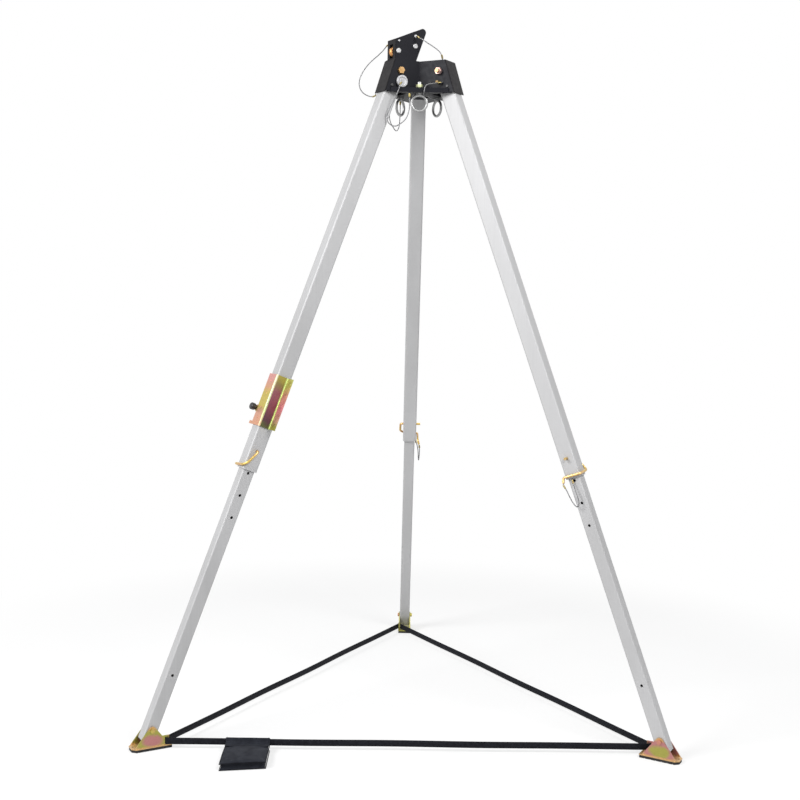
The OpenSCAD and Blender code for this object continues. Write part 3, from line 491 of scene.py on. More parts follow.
def lockSteel(leg, tip):
    # lock pin: satin knob on one side of the arm, brassy tip on the other
    mat = paleZinc("lock_steel_" + leg, (0.26, 0.26, 0.27), (0.44, 0.44, 0.45), 0.52)
    tree = mat.node_tree
    base = tree.nodes["Principled BSDF"].inputs["Base Color"]
    side = localAxes(tree, armFrame(leg, armPoint(leg, 0, 0, 0)))[1]
    plain = base.links[0].from_socket
    tree.links.new(mixed(math2("LESS_THAN", side, 0.0), plain, tip), base)
    return mat


def moulded(name, low, high, rough, grain=700, depth=0.0003):
    # moulded plastic or rubber with a fine grain
    mat, tree, shader = startMaterial(name, low, 0.0, rough)
    flat = placed(tree)
    gloss = [(0.3, rough - 0.08), (0.7, rough + 0.08)]
    feed(shader, "Base Color", ramp(noise(flat, 35, 5), [(0.3, low), (0.75, high)]))
    feed(shader, "Roughness", ramp(noise(flat, 90, 3), gloss))
    bump(shader, noise(flat, grain, 2), 0.35, depth)
    return mat


weave = {"rib": 0.0016, "warp": 0.0021, "thread": 0.0012, "lay": 0.006, "strands": 6}


def wave(value, pitch):
    return math2("SINE", math2("MULTIPLY", value, 2 * math.pi / pitch))


def wovenStrap():
    # narrow webbing on the strap's own UV map, in metres along and across
    mat, tree, shader = startMaterial("strap_webbing", (0.008, 0.008, 0.010), 0.0, 0.75, 0.08, 0.03)
    along, crosswise, _ = splitAxes(placed(tree, source="UV"))
    threads = math2("MULTIPLY", wave(along, weave["rib"]), wave(crosswise, weave["warp"]))
    fleck = noise(placed(tree), 120, 4)
    # raised threads lighter and the dips between them darker: painted shade, over a random fleck
    tone = ramp(math2("ADD", math2("MULTIPLY", threads, 0.18), fleck),
                [(0.3, (0.005, 0.005, 0.007)), (0.75, (0.015, 0.016, 0.021))])
    feed(shader, "Base Color", tone)
    bump(shader, threads, 0.4, 0.0004)
    return mat


def pouchCloth(name, low, high):
    # coated nylon cloth: plain weave with soft creases, their hollows darker as painted shade
    mat, tree, shader = startMaterial(name, low, 0.0, 0.62, 0.07, 0.02)
    flat = placed(tree)
    x, y, z = splitAxes(flat)
    pitch = weave["thread"]
    threads = math2("MULTIPLY", wave(x, pitch), wave(math2("ADD", y, z), pitch))
    crease = noise(flat, 22, 4, 0.55, 0.8)
    # the crease noise that shapes the bump also darkens the hollows: painted shade
    feed(shader, "Base Color", ramp(crease, [(0.3, low), (0.72, high)]))
    feed(shader, "Roughness", ramp(crease, [(0.3, 0.7), (0.7, 0.52)]))
    height = math2("ADD", math2("MULTIPLY", threads, 0.12), crease)
    bump(shader, height, 0.35, 0.0016)
    return mat


def strandedWire():
    # six strands laid round the wire, on its own UV map: metres along, turns around
    mat, tree, shader = startMaterial("wire_strands", (0.36, 0.36, 0.37), 0.85, 0.4)
    along, around, _ = splitAxes(placed(tree, source="UV"))
    lay = math2("MULTIPLY", along, 2 * math.pi / weave["lay"])
    turns = math2("MULTIPLY", around, 2 * math.pi * weave["strands"])
    strand = math2("SINE", math2("ADD", lay, turns))
    lifted = math2("ADD", math2("MULTIPLY", strand, 0.5), 0.5)
    # darker in the grooves between strands, lighter on their crowns: painted shade
    feed(shader, "Base Color", ramp(lifted, [(0.1, (0.08, 0.08, 0.085)), (0.7, (0.27, 0.27, 0.275))]))
    grime = noise(placed(tree), 80, 3)
    feed(shader, "Roughness", ramp(grime, [(0.3, 0.34), (0.7, 0.52)]))
    bump(shader, strand, 0.6, 0.0006)
    return mat


finish = {
    "black": coatedSteel("black_coat", (0.006, 0.006, 0.009), (0.010, 0.0105, 0.014), 0.46),
    # the same black coat painted lighter and bluer for the head's right plate: painted light on that side
    "blackLitSide": coatedSteel("black_coat_lit_side", (0.012, 0.0125, 0.016), (0.019, 0.020, 0.025), 0.46),
    "blackWeb": coatedSteel("black_coat_web", (0.011, 0.010, 0.011), (0.017, 0.016, 0.017), 0.52),
    "zinc": passivatedZinc("yellow_zinc", [
        (0.30, (0.40, 0.42, 0.06)), (0.42, (0.52, 0.45, 0.10)), (0.52, (0.56, 0.25, 0.17)),
        (0.62, (0.60, 0.27, 0.21)), (0.74, (0.46, 0.43, 0.08))], 13),
    "rod": passivatedZinc("gold_rod", [
        (0.3, (0.60, 0.42, 0.12)), (0.5, (0.68, 0.46, 0.18)), (0.75, (0.62, 0.32, 0.17))], 22, 0.3),
    "bolt": passivatedZinc("gold_bolt", [
        (0.3, (0.34, 0.20, 0.07)), (0.5, (0.42, 0.26, 0.12)), (0.75, (0.46, 0.28, 0.21))], 11, 0.46),
    "roseNut": passivatedZinc("rose_nut", [
        (0.3, (0.46, 0.31, 0.26)), (0.5, (0.52, 0.36, 0.34)), (0.75, (0.44, 0.30, 0.24))], 14, 0.46),
    "eyeNut": passivatedZinc("olive_nut", [
        (0.3, (0.27, 0.30, 0.06)), (0.5, (0.33, 0.35, 0.09)), (0.75, (0.36, 0.32, 0.09))], 18, 0.64),
    "silver": paleZinc("bright_zinc", (0.24, 0.24, 0.242), (0.42, 0.42, 0.42), 0.42),
    "lockNut": passivatedZinc("pale_nut", [
        (0.3, (0.54, 0.57, 0.32)), (0.5, (0.60, 0.63, 0.38)), (0.75, (0.62, 0.60, 0.34))], 18, 0.5),
    "bronze": passivatedZinc("sheave_bronze", [
        (0.3, (0.48, 0.22, 0.07)), (0.55, (0.62, 0.31, 0.11)), (0.75, (0.50, 0.26, 0.12))], 30),
    "nylon": moulded("nylon_disc", (0.56, 0.53, 0.46), (0.70, 0.68, 0.60), 0.45),
    "plastic": moulded("black_plastic", (0.010, 0.010, 0.011), (0.020, 0.020, 0.022), 0.46),
    "rubber": moulded("pad_rubber", (0.004, 0.004, 0.004), (0.011, 0.0105, 0.010), 0.8, 420, 0.0006),
    "strap": wovenStrap(),
    "cloth": pouchCloth("pouch_cloth", (0.009, 0.010, 0.014), (0.018, 0.020, 0.027)),
    "binding": pouchCloth("pouch_binding", (0.003, 0.003, 0.005), (0.007, 0.007, 0.010)),
    "wire": strandedWire(),
    "ferrule": passivatedZinc("brass_ferrule", [
        (0.3, (0.22, 0.17, 0.05)), (0.55, (0.29, 0.24, 0.09)), (0.75, (0.24, 0.17, 0.07))], 60),
}
for leg in tripod["legs"]:
    finish["tube_" + leg] = drawnTube(leg)
    finish["lock_" + leg] = lockSteel(leg, (0.16, 0.11, 0.05))
bracketPlace = legFrame("left", legPoint("left", 0, 0, bracket["low"]))
finish["bracket"] = bracketZinc(bracketPlace)
rose, olive, gold = (0.46, 0.20, 0.19), (0.36, 0.34, 0.075), (0.58, 0.37, 0.17)
finish["foot_left"] = footZinc("left", rose, olive, gold)
finish["foot_right"] = footZinc("right", olive, rose, gold)
finish["foot_rear"] = footZinc("rear", olive, (0.50, 0.46, 0.14), olive)
print("materials made,", len(finish))


# mesh helpers
def finishMesh(bm, name, material, smoothAngle=35.0):
    bmesh.ops.recalc_face_normals(bm, faces=bm.faces)
    limit = math.radians(smoothAngle)
    for face in bm.faces:
        face.smooth = True
    for edge in bm.edges:
        edge.smooth = len(edge.link_faces) == 2 and edge.calc_face_angle(0) < limit
    mesh = bpy.data.meshes.new(name)
    bm.to_mesh(mesh)
    bm.free()
    mesh.materials.append(material)
    obj = bpy.data.objects.new(name, mesh)
    scene.collection.objects.link(obj)
    return obj


def extrudeAlong(bm, profile, stations, closed=True, capped=True):
    # draws the profile at the first station and extrudes it from each station to the next
    def at(station):
        centre, side, up = station
        return [centre + side * x + up * y for x, y in profile]

    ring = [bm.verts.new(p) for p in at(stations[0])]
    count = len(ring)
    last = count if closed else count - 1
    edges = [bm.edges.new((ring[k], ring[(k + 1) % count])) for k in range(last)]
    rings = [ring]
    if closed and capped:
        bm.faces.new(ring)
    for station in stations[1:]:
        made = bmesh.ops.extrude_edge_only(bm, edges=edges)
        fresh = {v for v in made["geom"] if isinstance(v, bmesh.types.BMVert)}
        ring = [next(e.other_vert(v) for e in v.link_edges if e.other_vert(v) in fresh) for v in ring]
        edges = [bm.edges.get((ring[k], ring[(k + 1) % count])) for k in range(last)]
        for v, p in zip(ring, at(station)):
            v.co = p
        rings.append(ring)
    if closed and capped:
        bm.faces.new(ring)
    return rings


def mapAlong(bm, rings, lengths, around):
    # UV: metres along the sweep, and the given value round the profile
    layer = bm.loops.layers.uv.new("along")
    spot = {v: (k, j) for k, ring in enumerate(rings) for j, v in enumerate(ring)}
    count = len(rings[0])
    for face in bm.faces:
        marks = [spot[l.vert] for l in face.loops]
        wraps = {0, count - 1} <= {j for _, j in marks} and count > 2
        for l, (k, j) in zip(face.loops, marks):
            l[layer].uv = (lengths[k], around[count] if wraps and j == 0 else around[j])


def framesAlong(points):
    # frames carried along the points without twist
    n = len(points)
    stations, side = [], None
    for k in range(n):
        ahead = (points[min(k + 1, n - 1)] - points[max(k - 1, 0)]).normalized()
        if side is None:
            side = ahead.cross(Vector((0, 0, 1)) if abs(ahead.z) < 0.9 else Vector((1, 0, 0)))
        side = (side - ahead * side.dot(ahead)).normalized()
        stations.append((points[k], side, ahead.cross(side)))
    return stations


def runLengths(points):
    out = [0.0]
    for a, b in zip(points, points[1:]):
        out.append(out[-1] + (b - a).length)
    return out


def smoothRoute(points, steps):
    # Catmull-Rom through the points, as the solid's own route
    out, n = [], len(points)
    for k in range(n - 1):
        a, b, c, d = points[max(k - 1, 0)], points[k], points[k + 1], points[min(k + 2, n - 1)]
        for s in range(steps):
            u = s / steps
            slope, square, cube = c - a, 2 * a - 5 * b + 4 * c - d, 3 * b - a - 3 * c + d
            out.append(0.5 * (2 * b + slope * u + square * u * u + cube * u ** 3))
    return out + [points[-1]]


def circleProfile(radius, count):
    turns = [2 * math.pi * k / count for k in range(count)]
    return [(radius * math.cos(a), radius * math.sin(a)) for a in turns]


def sharpEdges(bm, angle):
    return [e for e in bm.edges if len(e.link_faces) == 2 and e.calc_face_angle(0) > angle]


def bevelled(bm, edges, width, segments=2, clamp=True):
    bmesh.ops.bevel(bm, geom=edges, offset=width, offset_type="OFFSET", segments=segments, profile=0.5,
                    affect="EDGES", clamp_overlap=clamp, material=-1)


def cutFlat(bm, point, normal, inner):
    # cuts off what lies behind the plane, or before it, and closes the cut
    geom = bm.verts[:] + bm.edges[:] + bm.faces[:]
    cut = bmesh.ops.bisect_plane(bm, geom=geom, plane_co=point, plane_no=normal, clear_inner=inner,
                                 clear_outer=not inner)["geom_cut"]
    bmesh.ops.holes_fill(bm, edges=[e for e in cut if isinstance(e, bmesh.types.BMEdge)])


# wire lanyards; the points are the solids' own, in metres
lanyard = {
    "diameter": 0.004, "sides": 10, "steps": 5,
    "ferruleLength": 0.016, "ferruleAt": 0.014, "ferruleRadius": 0.0034, "ferruleSides": 14,
    "oval": (1.15, 0.85, 1), "rimSharp": 1.0, "rim": 0.0008, "waistCuts": 4,
    "crimp": 0.14, "crimpPitch": 0.0062,
}
lanyards = {
    "keeper_lanyard_outer": {
        "frame": armPoint, "leg": "left", "bodies": ("head", "keeper_outer"), "pinFirst": True,
        "still": (0.15, -0.05, -0.03), "moved": (0.15, -0.05, 0.096),
        "points": [
            (0.121, -0.0276, 0.111), (0.122, -0.036, 0.109), (0.128, -0.046, 0.101),
            (0.14, -0.052, 0.084), (0.162, -0.056, 0.062), (0.186, -0.059, 0.04), (0.206, -0.06, 0.018),
            (0.224, -0.06, -0.008), (0.236, -0.06, -0.036), (0.236, -0.06, -0.06), (0.226, -0.058, -0.08),
            (0.208, -0.052, -0.093), (0.192, -0.042, -0.098), (0.181, -0.034, -0.095),
            (0.178, -0.03, -0.0854)]},
    "keeper_lanyard_inner": {
        "frame": axisPoint, "leg": "left", "bodies": ("head", "keeper_inner"), "pinFirst": True,
        "still": (0.072, -0.09, 0.09), "moved": (-0.008, -0.09, 0.09),
        "points": [
            (-0.016, -0.0642, 0.136), (-0.013, -0.07, 0.134), (-0.004, -0.08, 0.126),
            (0.012, -0.088, 0.116), (0.028, -0.092, 0.105), (0.044, -0.094, 0.095),
            (0.062, -0.095, 0.083), (0.076, -0.096, 0.07), (0.083, -0.096, 0.058),
            (0.0854, -0.0924, 0.049), (0.086, -0.0886, 0.041)]},
    "lock_lanyard_left": {
        "frame": axisPoint, "leg": "left", "bodies": ("head", "lock_left"), "pinFirst": True,
        "still": (-0.040, -0.11, -0.1), "moved": (-0.0685, -0.11, -0.1),
        "points": [
            (-0.0696, -0.1035, -0.05), (-0.071, -0.109, -0.051), (-0.073, -0.115, -0.053),
            (-0.076, -0.119, -0.06), (-0.08, -0.12, -0.076), (-0.091, -0.12, -0.101),
            (-0.102, -0.119, -0.126), (-0.114, -0.119, -0.152), (-0.124, -0.118, -0.178),
            (-0.12, -0.118, -0.2), (-0.108, -0.118, -0.213), (-0.09, -0.117, -0.217),
            (-0.073, -0.115, -0.208), (-0.057, -0.113, -0.195), (-0.045, -0.11, -0.176),
            (-0.038, -0.108, -0.146), (-0.038, -0.106, -0.118), (-0.038, -0.104, -0.0854)]},
    "lock_lanyard_right": {
        "frame": armPoint, "leg": "right", "bodies": ("head", "lock_right"), "pinFirst": False,
        "still": (0.08, -0.03, -0.09), "moved": (0.08, 0.052, -0.09),
        "points": [
            (0.126, -0.0413, -0.043), (0.118, -0.052, -0.046), (0.106, -0.064, -0.049),
            (0.094, -0.074, -0.052), (0.087, -0.084, -0.055), (0.082, -0.094, -0.061),
            (0.079, -0.098, -0.072), (0.077, -0.098, -0.084), (0.073, -0.094, -0.094),
            (0.07, -0.084, -0.098), (0.072, -0.062, -0.095), (0.06, -0.032, -0.093), (0.052, 0.0, -0.093),
            (0.056, 0.034, -0.094), (0.077, 0.058, -0.095), (0.097, 0.074, -0.095), (0.108, 0.084, -0.09),
            (0.112, 0.084, -0.079), (0.113, 0.079, -0.067), (0.11, 0.068, -0.059), (0.1074, 0.055, -0.054)]},
    "lock_lanyard_rear": {
        "frame": axisPoint, "leg": "rear", "bodies": ("head", "lock_rear"), "pinFirst": True,
        "still": (-0.09, 0.068, -0.1), "moved": (-0.09, 0.101, -0.1),
        "points": [
            (-0.0548, 0.104, -0.058), (-0.062, 0.106, -0.055), (-0.076, 0.107, -0.053),
            (-0.09, 0.104, -0.06), (-0.1, 0.098, -0.085), (-0.11, 0.092, -0.115), (-0.117, 0.085, -0.148),
            (-0.112, 0.08, -0.176), (-0.101, 0.076, -0.196), (-0.089, 0.074, -0.21),
            (-0.079, 0.072, -0.2), (-0.075, 0.07, -0.17), (-0.074, 0.068, -0.135),
            (-0.074, 0.066, -0.105), (-0.074, 0.066, -0.0854)]},
}
adjustPoints = [
    (-0.038, -0.0442, -0.0868), (-0.039, -0.046, -0.094), (-0.036, -0.047, -0.104),
    (-0.032, -0.048, -0.118), (-0.029, -0.048, -0.140), (-0.025, -0.047, -0.162),
    (-0.018, -0.046, -0.180), (-0.011, -0.045, -0.184), (-0.004, -0.044, -0.176),
    (-0.001, -0.043, -0.158), (-0.002, -0.041, -0.134), (-0.004, -0.036, -0.108),
    (-0.005, -0.030, -0.090), (-0.005, -0.0285, -0.0774)]
for leg in tripod["legs"]:
    lanyards["adjust_lanyard_" + leg] = {
        "frame": pinPoint, "leg": leg, "bodies": ("upper_leg_" + leg, "adjust_" + leg), "pinFirst": True,
        "still": (-0.008, -0.045, -0.1), "moved": (-0.034, -0.045, -0.1), "points": adjustPoints}


def makeFerrule(name, points, fromStart, body):
    # crimped oval sleeve over the wire, a set distance from its end
    run = runLengths(points)
    want = lanyard["ferruleAt"] if fromStart else run[-1] - lanyard["ferruleAt"]
    k = min(range(1, len(points) - 1), key=lambda i: abs(run[i] - want))
    ahead = (points[k + 1] - points[k - 1]).normalized()
    bm = bmesh.new()
    radius, length = lanyard["ferruleRadius"], lanyard["ferruleLength"]
    bmesh.ops.create_cone(bm, cap_ends=True, segments=lanyard["ferruleSides"], radius1=radius, radius2=radius,
                          depth=length)
    bmesh.ops.scale(bm, vec=lanyard["oval"], verts=bm.verts)
    bevelled(bm, sharpEdges(bm, lanyard["rimSharp"]), lanyard["rim"], clamp=False)
    waist = [e for e in bm.edges if abs(e.verts[0].co.z - e.verts[1].co.z) > length / 2]
    bmesh.ops.subdivide_edges(bm, edges=waist, cuts=lanyard["waistCuts"], use_grid_fill=True)
    for v in bm.verts:  # two crimp marks pressed in
        v.co.y *= 1 - lanyard["crimp"] * math.cos(v.co.z * 2 * math.pi / lanyard["crimpPitch"]) ** 2
    turn = ahead.to_track_quat("Z", "Y").to_matrix().to_4x4()
    bmesh.ops.transform(bm, matrix=Matrix.Translation(points[k]) @ turn, verts=bm.verts)
    obj = finishMesh(bm, name, finish["ferrule"])
    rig.ride(obj, body)
    return obj


def makeLanyard(name, spec):
    def place(p):
        return spec["frame"](spec["leg"], *p)

    points = smoothRoute([place(p) for p in spec["points"]], lanyard["steps"])
    run = runLengths(points)
    sides = lanyard["sides"]
    bm = bmesh.new()
    rings = extrudeAlong(bm, circleProfile(lanyard["diameter"] / 2, sides), framesAlong(points))
    mapAlong(bm, rings, run, [k / sides for k in range(sides + 1)])
    wire = finishMesh(bm, name.replace("lanyard", "wire"), finish["wire"], 60)
    still, moving = spec["bodies"]
    ends = (moving, still) if spec["pinFirst"] else (still, moving)
    sleeves = [makeFerrule(f"{wire.name}_ferrule_{k}", points, k == 0, ends[k]) for k in (0, 1)]
    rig.blend(wire, still, moving, place(spec["still"]), place(spec["moved"]))
    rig.replaces(wire, name)
    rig.slot(wire, "wire")
    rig.cord(wire, exit=points[0], length=run[-1], diameter=lanyard["diameter"], far_end="object",
            stiffness="medium", lay="hanging", path=points, with_pieces=sleeves)


for name, spec in lanyards.items():
    makeLanyard(name, spec)
print("lanyards made,", len(lanyards))


# floor and studio light
studio = {
    "floorTone": 0.78, "floorGrain": 0.005, "floorSize": 30, "floorDrop": 0.0005,
    "ambient": 0.22, "shadowShare": 0.36, "fadeFrom": 1.5, "fadeTo": 2.6,
    "lamps": {  # place, aim, size and power
        "key_light": ((-4.8, -3.3, 4.7), (0, 0, 1.5), 2.6, 425),
        "fill_light": ((2.4, -3.7, 4.6), (0, 0, 2.0), 2.4, 222),
        "top_light": ((0.4, 0.6, 5.6), (0, 0, 1.0), 3.0, 100),
    },
}


def eyeRays(tree):
    # 1 for rays that show the white surround: seen, mirrored or let through
    path = node("LightPath", {}, tree)
    seen = math2("MAXIMUM", path["Is Camera Ray"], path["Is Glossy Ray"])
    return math2("MAXIMUM", seen, path["Is Transmission Ray"])


def makeFloor():
    # pale floor that keeps the shadow near the object and turns to white further out
    tone, grain = studio["floorTone"], studio["floorGrain"]
    mat, tree, shader = startMaterial("studio_floor", (tone,) * 3, 0.0, 0.9)
    patches = [(0.3, tone - grain), (0.7, tone + grain)]
    feed(shader, "Base Color", ramp(noise(placed(tree), 3, 3), patches))
    white = node("Emission", {"Color": (1, 1, 1, 1), "Strength": 1.0}, tree)["Emission"]
    far = node("VectorMath", {0: placed(tree)}, operation="LENGTH")["Value"]
    reach = node("MapRange", {
        "Value": far, "From Min": studio["fadeFrom"], "From Max": studio["fadeTo"],
        "To Min": 1 - studio["shadowShare"], "To Max": 1.0}, interpolation_type="SMOOTHSTEP")["Result"]
    share = math2("MULTIPLY", eyeRays(tree), reach)
    blend = node("MixShader", {"Fac": share, 1: shader.outputs["BSDF"], 2: white})["Shader"]
    tree.links.new(blend, tree.nodes["Material Output"].inputs["Surface"])
    bm = bmesh.new()
    bmesh.ops.create_grid(bm, x_segments=2, y_segments=2, size=studio["floorSize"])
    bmesh.ops.translate(bm, vec=(0, 0, -studio["floorDrop"]), verts=bm.verts)
    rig.stage(finishMesh(bm, "studio_floor", mat))


def makeWorld():
    # white to the eye, dimmer as light
    world = bpy.data.worlds.new("studio")
    scene.world = world
    world.use_nodes = True
    tree = world.node_tree
    tree.nodes.clear()
    lit = node("Background", {"Color": (0.98, 0.99, 1.0, 1), "Strength": studio["ambient"]}, tree)
    seen = node("Background", {"Color": (1, 1, 1, 1), "Strength": 1.0}, tree)
    pick = node("MixShader", {"Fac": eyeRays(tree), 1: lit["Background"], 2: seen["Background"]})
    node("OutputWorld", {"Surface": pick["Shader"]})


def areaLight(name, place, aim, size, power):
    data = bpy.data.lights.new(name, "AREA")
    data.size = size
    data.energy = power
    obj = bpy.data.objects.new(name, data)
    scene.collection.objects.link(obj)
    obj.location = place
    obj.rotation_euler = (Vector(aim) - Vector(place)).to_track_quat("-Z", "Y").to_euler()


makeFloor()
makeWorld()
for lampName, lamp in studio["lamps"].items():
    areaLight(lampName, *lamp)
print("studio made")


# rigid pieces that keep the solid's shape: merged copies with softened edges
def softened(nodeName, material, width, segments=2, angle=32.0, first=None):
    source = nodes[nodeName]
    bm = bmesh.new()
    bm.from_mesh(source.data)
    bmesh.ops.remove_doubles(bm, verts=bm.verts, dist=2e-6)
    bmesh.ops.dissolve_limit(bm, angle_limit=math.radians(0.4), verts=bm.verts, edges=bm.edges)
    if first:
        first(bm)
    if width:
        bevelled(bm, sharpEdges(bm, math.radians(angle)), width, segments)
    obj = finishMesh(bm, nodeName + "_dressed", material, 40)
    tidy = obj.modifiers.new("flat_faces", "WEIGHTED_NORMAL")
    tidy.keep_sharp = True
    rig.ride(obj, source["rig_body"])
    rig.replaces(obj, nodeName)
    return obj


def roundBends(bm):
    # wide radius where the bracket's plate is bent, on both sides of the sheet
    back = bracketPlace.inverted()

    def bent(edge):
        a, b = (back @ v.co for v in edge.verts)
        near = bracket["bendNear"]
        long = abs(a.z - b.z) > bracket["bendLength"]
        return long and any(abs(a.x - x) + abs(a.y - y) < near for x, y in bracket["bends"])

    bevelled(bm, [e for e in bm.edges if bent(e)], bracket["bendRadius"], 5)


for plate in ("head_front_plate", "head_left_plate", "head_base_plate", "housing_rear_plate"):
    softened(plate, finish["black"], 0.0009)
# the right plate takes the lighter coat: painted light
softened("head_right_plate", finish["blackLitSide"], 0.0009)
for leg in tripod["legs"]:
    softened("head_web_" + leg, finish["blackWeb"], 0.0026, 3)
    softened("foot_bracket_" + leg, finish["foot_" + leg], 0.0009)
softened("bracket_clamp", finish["zinc"], 0.0009)
softened("winch_bracket", finish["bracket"], 0.0010, 2, 60.0, roundBends)
dressing = {  # finish, edge width and the nodes it goes to
    "bronze": (0.0005, ["sheave_outer", "sheave_inner"]),
    "silver": (0.0004, [
        "sheave_axles", "sheave_spacers", "keeper_pin_outer", "keeper_pin_inner", "anchor_eyes"]),
    "bolt": (0.0005, ["leg_pivot_bolts"]),
    "roseNut": (0.0005, ["leg_pivot_nuts"]),
    "eyeNut": (0.0004, ["eye_nuts"]),
    "nylon": (0.0003, ["leg_washers", "side_guides"]),
    "plastic": (0.0005, ["guide_screws", "bracket_knob"] + ["tube_bush_" + leg for leg in tripod["legs"]]),
    "rod": (0.0004, ["adjust_pin_" + leg for leg in tripod["legs"]]),
    "zinc": (0.0004, ["foot_bolt_" + leg for leg in tripod["legs"]]),
}
for leg in tripod["legs"]:
    dressing["tube_" + leg] = (0.0, ["outer_tube_" + leg, "inner_tube_" + leg])
    dressing["lock_" + leg] = (0.0005, ["lock_pin_" + leg])
for finishName, (width, names) in dressing.items():
    for name in names:
        softened(name, finish[finishName], width)
print("solids dressed")

# second nuts on the anchor eyes' shanks
lockNut = {"eyeR": -0.085, "height": 0.013, "flats": 0.012, "bore": 0.00805, "chamfer": 0.0022, "sides": 24}


def makeLockNut(bm, leg, low):
    centre = armPoint(leg, lockNut["eyeR"], 0, 0)
    flats, bore = lockNut["flats"], lockNut["bore"]
    count = lockNut["sides"]
    turns = [2 * math.pi * k / count for k in range(count)]
    hexagon = [flats / math.cos(a % (math.pi / 3) - math.pi / 6) for a in turns]
    rounded = [min(r, flats) for r in hexagon]
    high = low + lockNut["height"]
    rows = [(low, [bore] * count), (low, rounded), (low + lockNut["chamfer"], hexagon),
            (high - lockNut["chamfer"], hexagon), (high, rounded), (high, [bore] * count)]
    loops = []
    for z, radii in rows:
        spots = [(centre.x + r * math.cos(a), centre.y + r * math.sin(a), z) for a, r in zip(turns, radii)]
        ring = [bm.verts.new(p) for p in spots]
        loops.append([bm.edges.new((ring[k], ring[(k + 1) % count])) for k in range(count)])
    for a, b in zip(loops, loops[1:] + loops[:1]):
        bmesh.ops.bridge_loops(bm, edges=a + b)


bm = bmesh.new()
nutTop = max(v.co.z for v in nodes["eye_nuts"].data.vertices)
for leg in tripod["legs"]:
    makeLockNut(bm, leg, nutTop)
lockNuts = finishMesh(bm, "eye_lock_nuts", finish["lockNut"], 25)
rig.ride(lockNuts, "head")
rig.slot(lockNuts, "zinc_yellow")

# rivets on the bracket's face
bm = bmesh.new()
for up in bracket["rivetsUp"]:
    made = bmesh.ops.create_icosphere(bm, subdivisions=3, radius=bracket["rivet"])["verts"]
    bmesh.ops.scale(bm, vec=(bracket["rivetFlat"], 1, 1), verts=made)
    bmesh.ops.translate(bm, vec=(bracket["face"], bracket["rivetSide"], up), verts=made)
cutFlat(bm, (bracket["face"], 0, 0), (1, 0, 0), True)
bmesh.ops.transform(bm, matrix=bracketPlace, verts=bm.verts)
rivets = finishMesh(bm, "bracket_rivets", finish["zinc"], 50)
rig.ride(rivets, "upper_leg_left")
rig.slot(rivets, "zinc_yellow")

# foot pads: full to the plate's edge, grooved across underneath
pad = {
    "length": 0.148, "width": 0.060, "height": 0.0097, "chamfer": 0.0145, "sharp": 0.6, "rim": 0.0007,
    "grooves": 6, "grooveWidth": 0.003, "grooveDeep": 0.0018,
}


def makePad(leg):
    half, edge = pad["length"] / 2, pad["width"] / 2
    outline = [(half, 0), (half, pad["height"]), (-half, pad["height"]), (-half, 0)]
    for k in range(1, pad["grooves"] + 1):
        mid = -half + k * pad["length"] / (pad["grooves"] + 1)
        a, b = mid - pad["grooveWidth"] / 2, mid + pad["grooveWidth"] / 2
        outline += [(a, 0), (a, pad["grooveDeep"]), (b, pad["grooveDeep"]), (b, 0)]
    bm = bmesh.new()
    ends = [(Vector((0, t, 0)), Vector((1, 0, 0)), Vector((0, 0, 1))) for t in (-edge, edge)]
    extrudeAlong(bm, outline, ends)
    for side in (-1, 1):
        cutFlat(bm, (half - pad["chamfer"], side * edge, 0), (1, side, 0), False)
    bevelled(bm, sharpEdges(bm, pad["sharp"]), pad["rim"])
    for v in bm.verts:  # nothing below the floor
        v.co.z = max(v.co.z, 0)
    bmesh.ops.transform(bm, matrix=armFrame(leg, floorPoint(leg, 0, 0, 0)), verts=bm.verts)
    obj = finishMesh(bm, "foot_pad_" + leg + "_dressed", finish["rubber"], 40)
    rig.ride(obj, "foot_" + leg)
    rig.replaces(obj, "foot_pad_" + leg)
    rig.slot(obj, "rubber")


# plastic plugs in the lower tubes' ends
plug = {
    "tail": 0.044, "inside": 0.0205, "outside": 0.0237, "deep": 0.012, "lip": 0.003, "edge": 0.001,
    "taper": 0.002, "corner": 0.22, "cornerSteps": 4,
}


def roundedSquare(corner, steps):  # half a side is 1
    out = []
    for k in range(4):
        a = math.pi / 4 + k * math.pi / 2
        x, y = math.copysign(1 - corner, math.cos(a)), math.copysign(1 - corner, math.sin(a))
        for j in range(steps + 1):
            b = k * math.pi / 2 + j * math.pi / 2 / steps
            out.append((x + corner * math.cos(b), y + corner * math.sin(b)))
    return out


def makePlug(leg):
    end = -tripod["legLength"] - plug["tail"]
    inner, outer, deep, lip, edge = (plug[k] for k in ("inside", "outside", "deep", "lip", "edge"))
    steps = [(deep, inner - edge), (deep - plug["taper"], inner), (-edge / 10, inner), (-edge / 5, outer),
             (edge - lip, outer), (-lip, outer - edge)]
    axes = legFrame(leg)
    o, t = axes.col[0].to_3d(), axes.col[1].to_3d()
    stations = [(legPoint(leg, 0, 0, end + up), o * size, t * size) for up, size in steps]
    bm = bmesh.new()
    extrudeAlong(bm, roundedSquare(plug["corner"], plug["cornerSteps"]), stations)
    obj = finishMesh(bm, "tube_plug_" + leg, finish["plastic"], 40)
    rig.ride(obj, "lower_leg_" + leg)
    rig.slot(obj, "black_plastic")


for leg in tripod["legs"]:
    makePad(leg)
    makePlug(leg)
print("rivets, pads and plugs made")


# strap: flat webbing, three spans, each cut where it passes from one moving part to the next
strap = {
    "width": 0.025, "thick": 0.002, "low": 0.0165, "slotAt": -0.050, "cheekIn": 0.025, "cheekOut": 0.029,
    "footNear": 0.02, "footEnd": 0.07, "pouchEnd": 0.42, "legEnd": 0.62, "step": 0.012, "wave": 0.0025,
    "waves": 5, "phase": 0.6, "selvedge": 0.0007, "slotIn": 0.001, "slotOut": 0.003, "farIn": 0.004,
    "spans": {
        "strap_front": ("left", "right"), "strap_right": ("right", "rear"), "strap_left": ("rear", "left")},
}


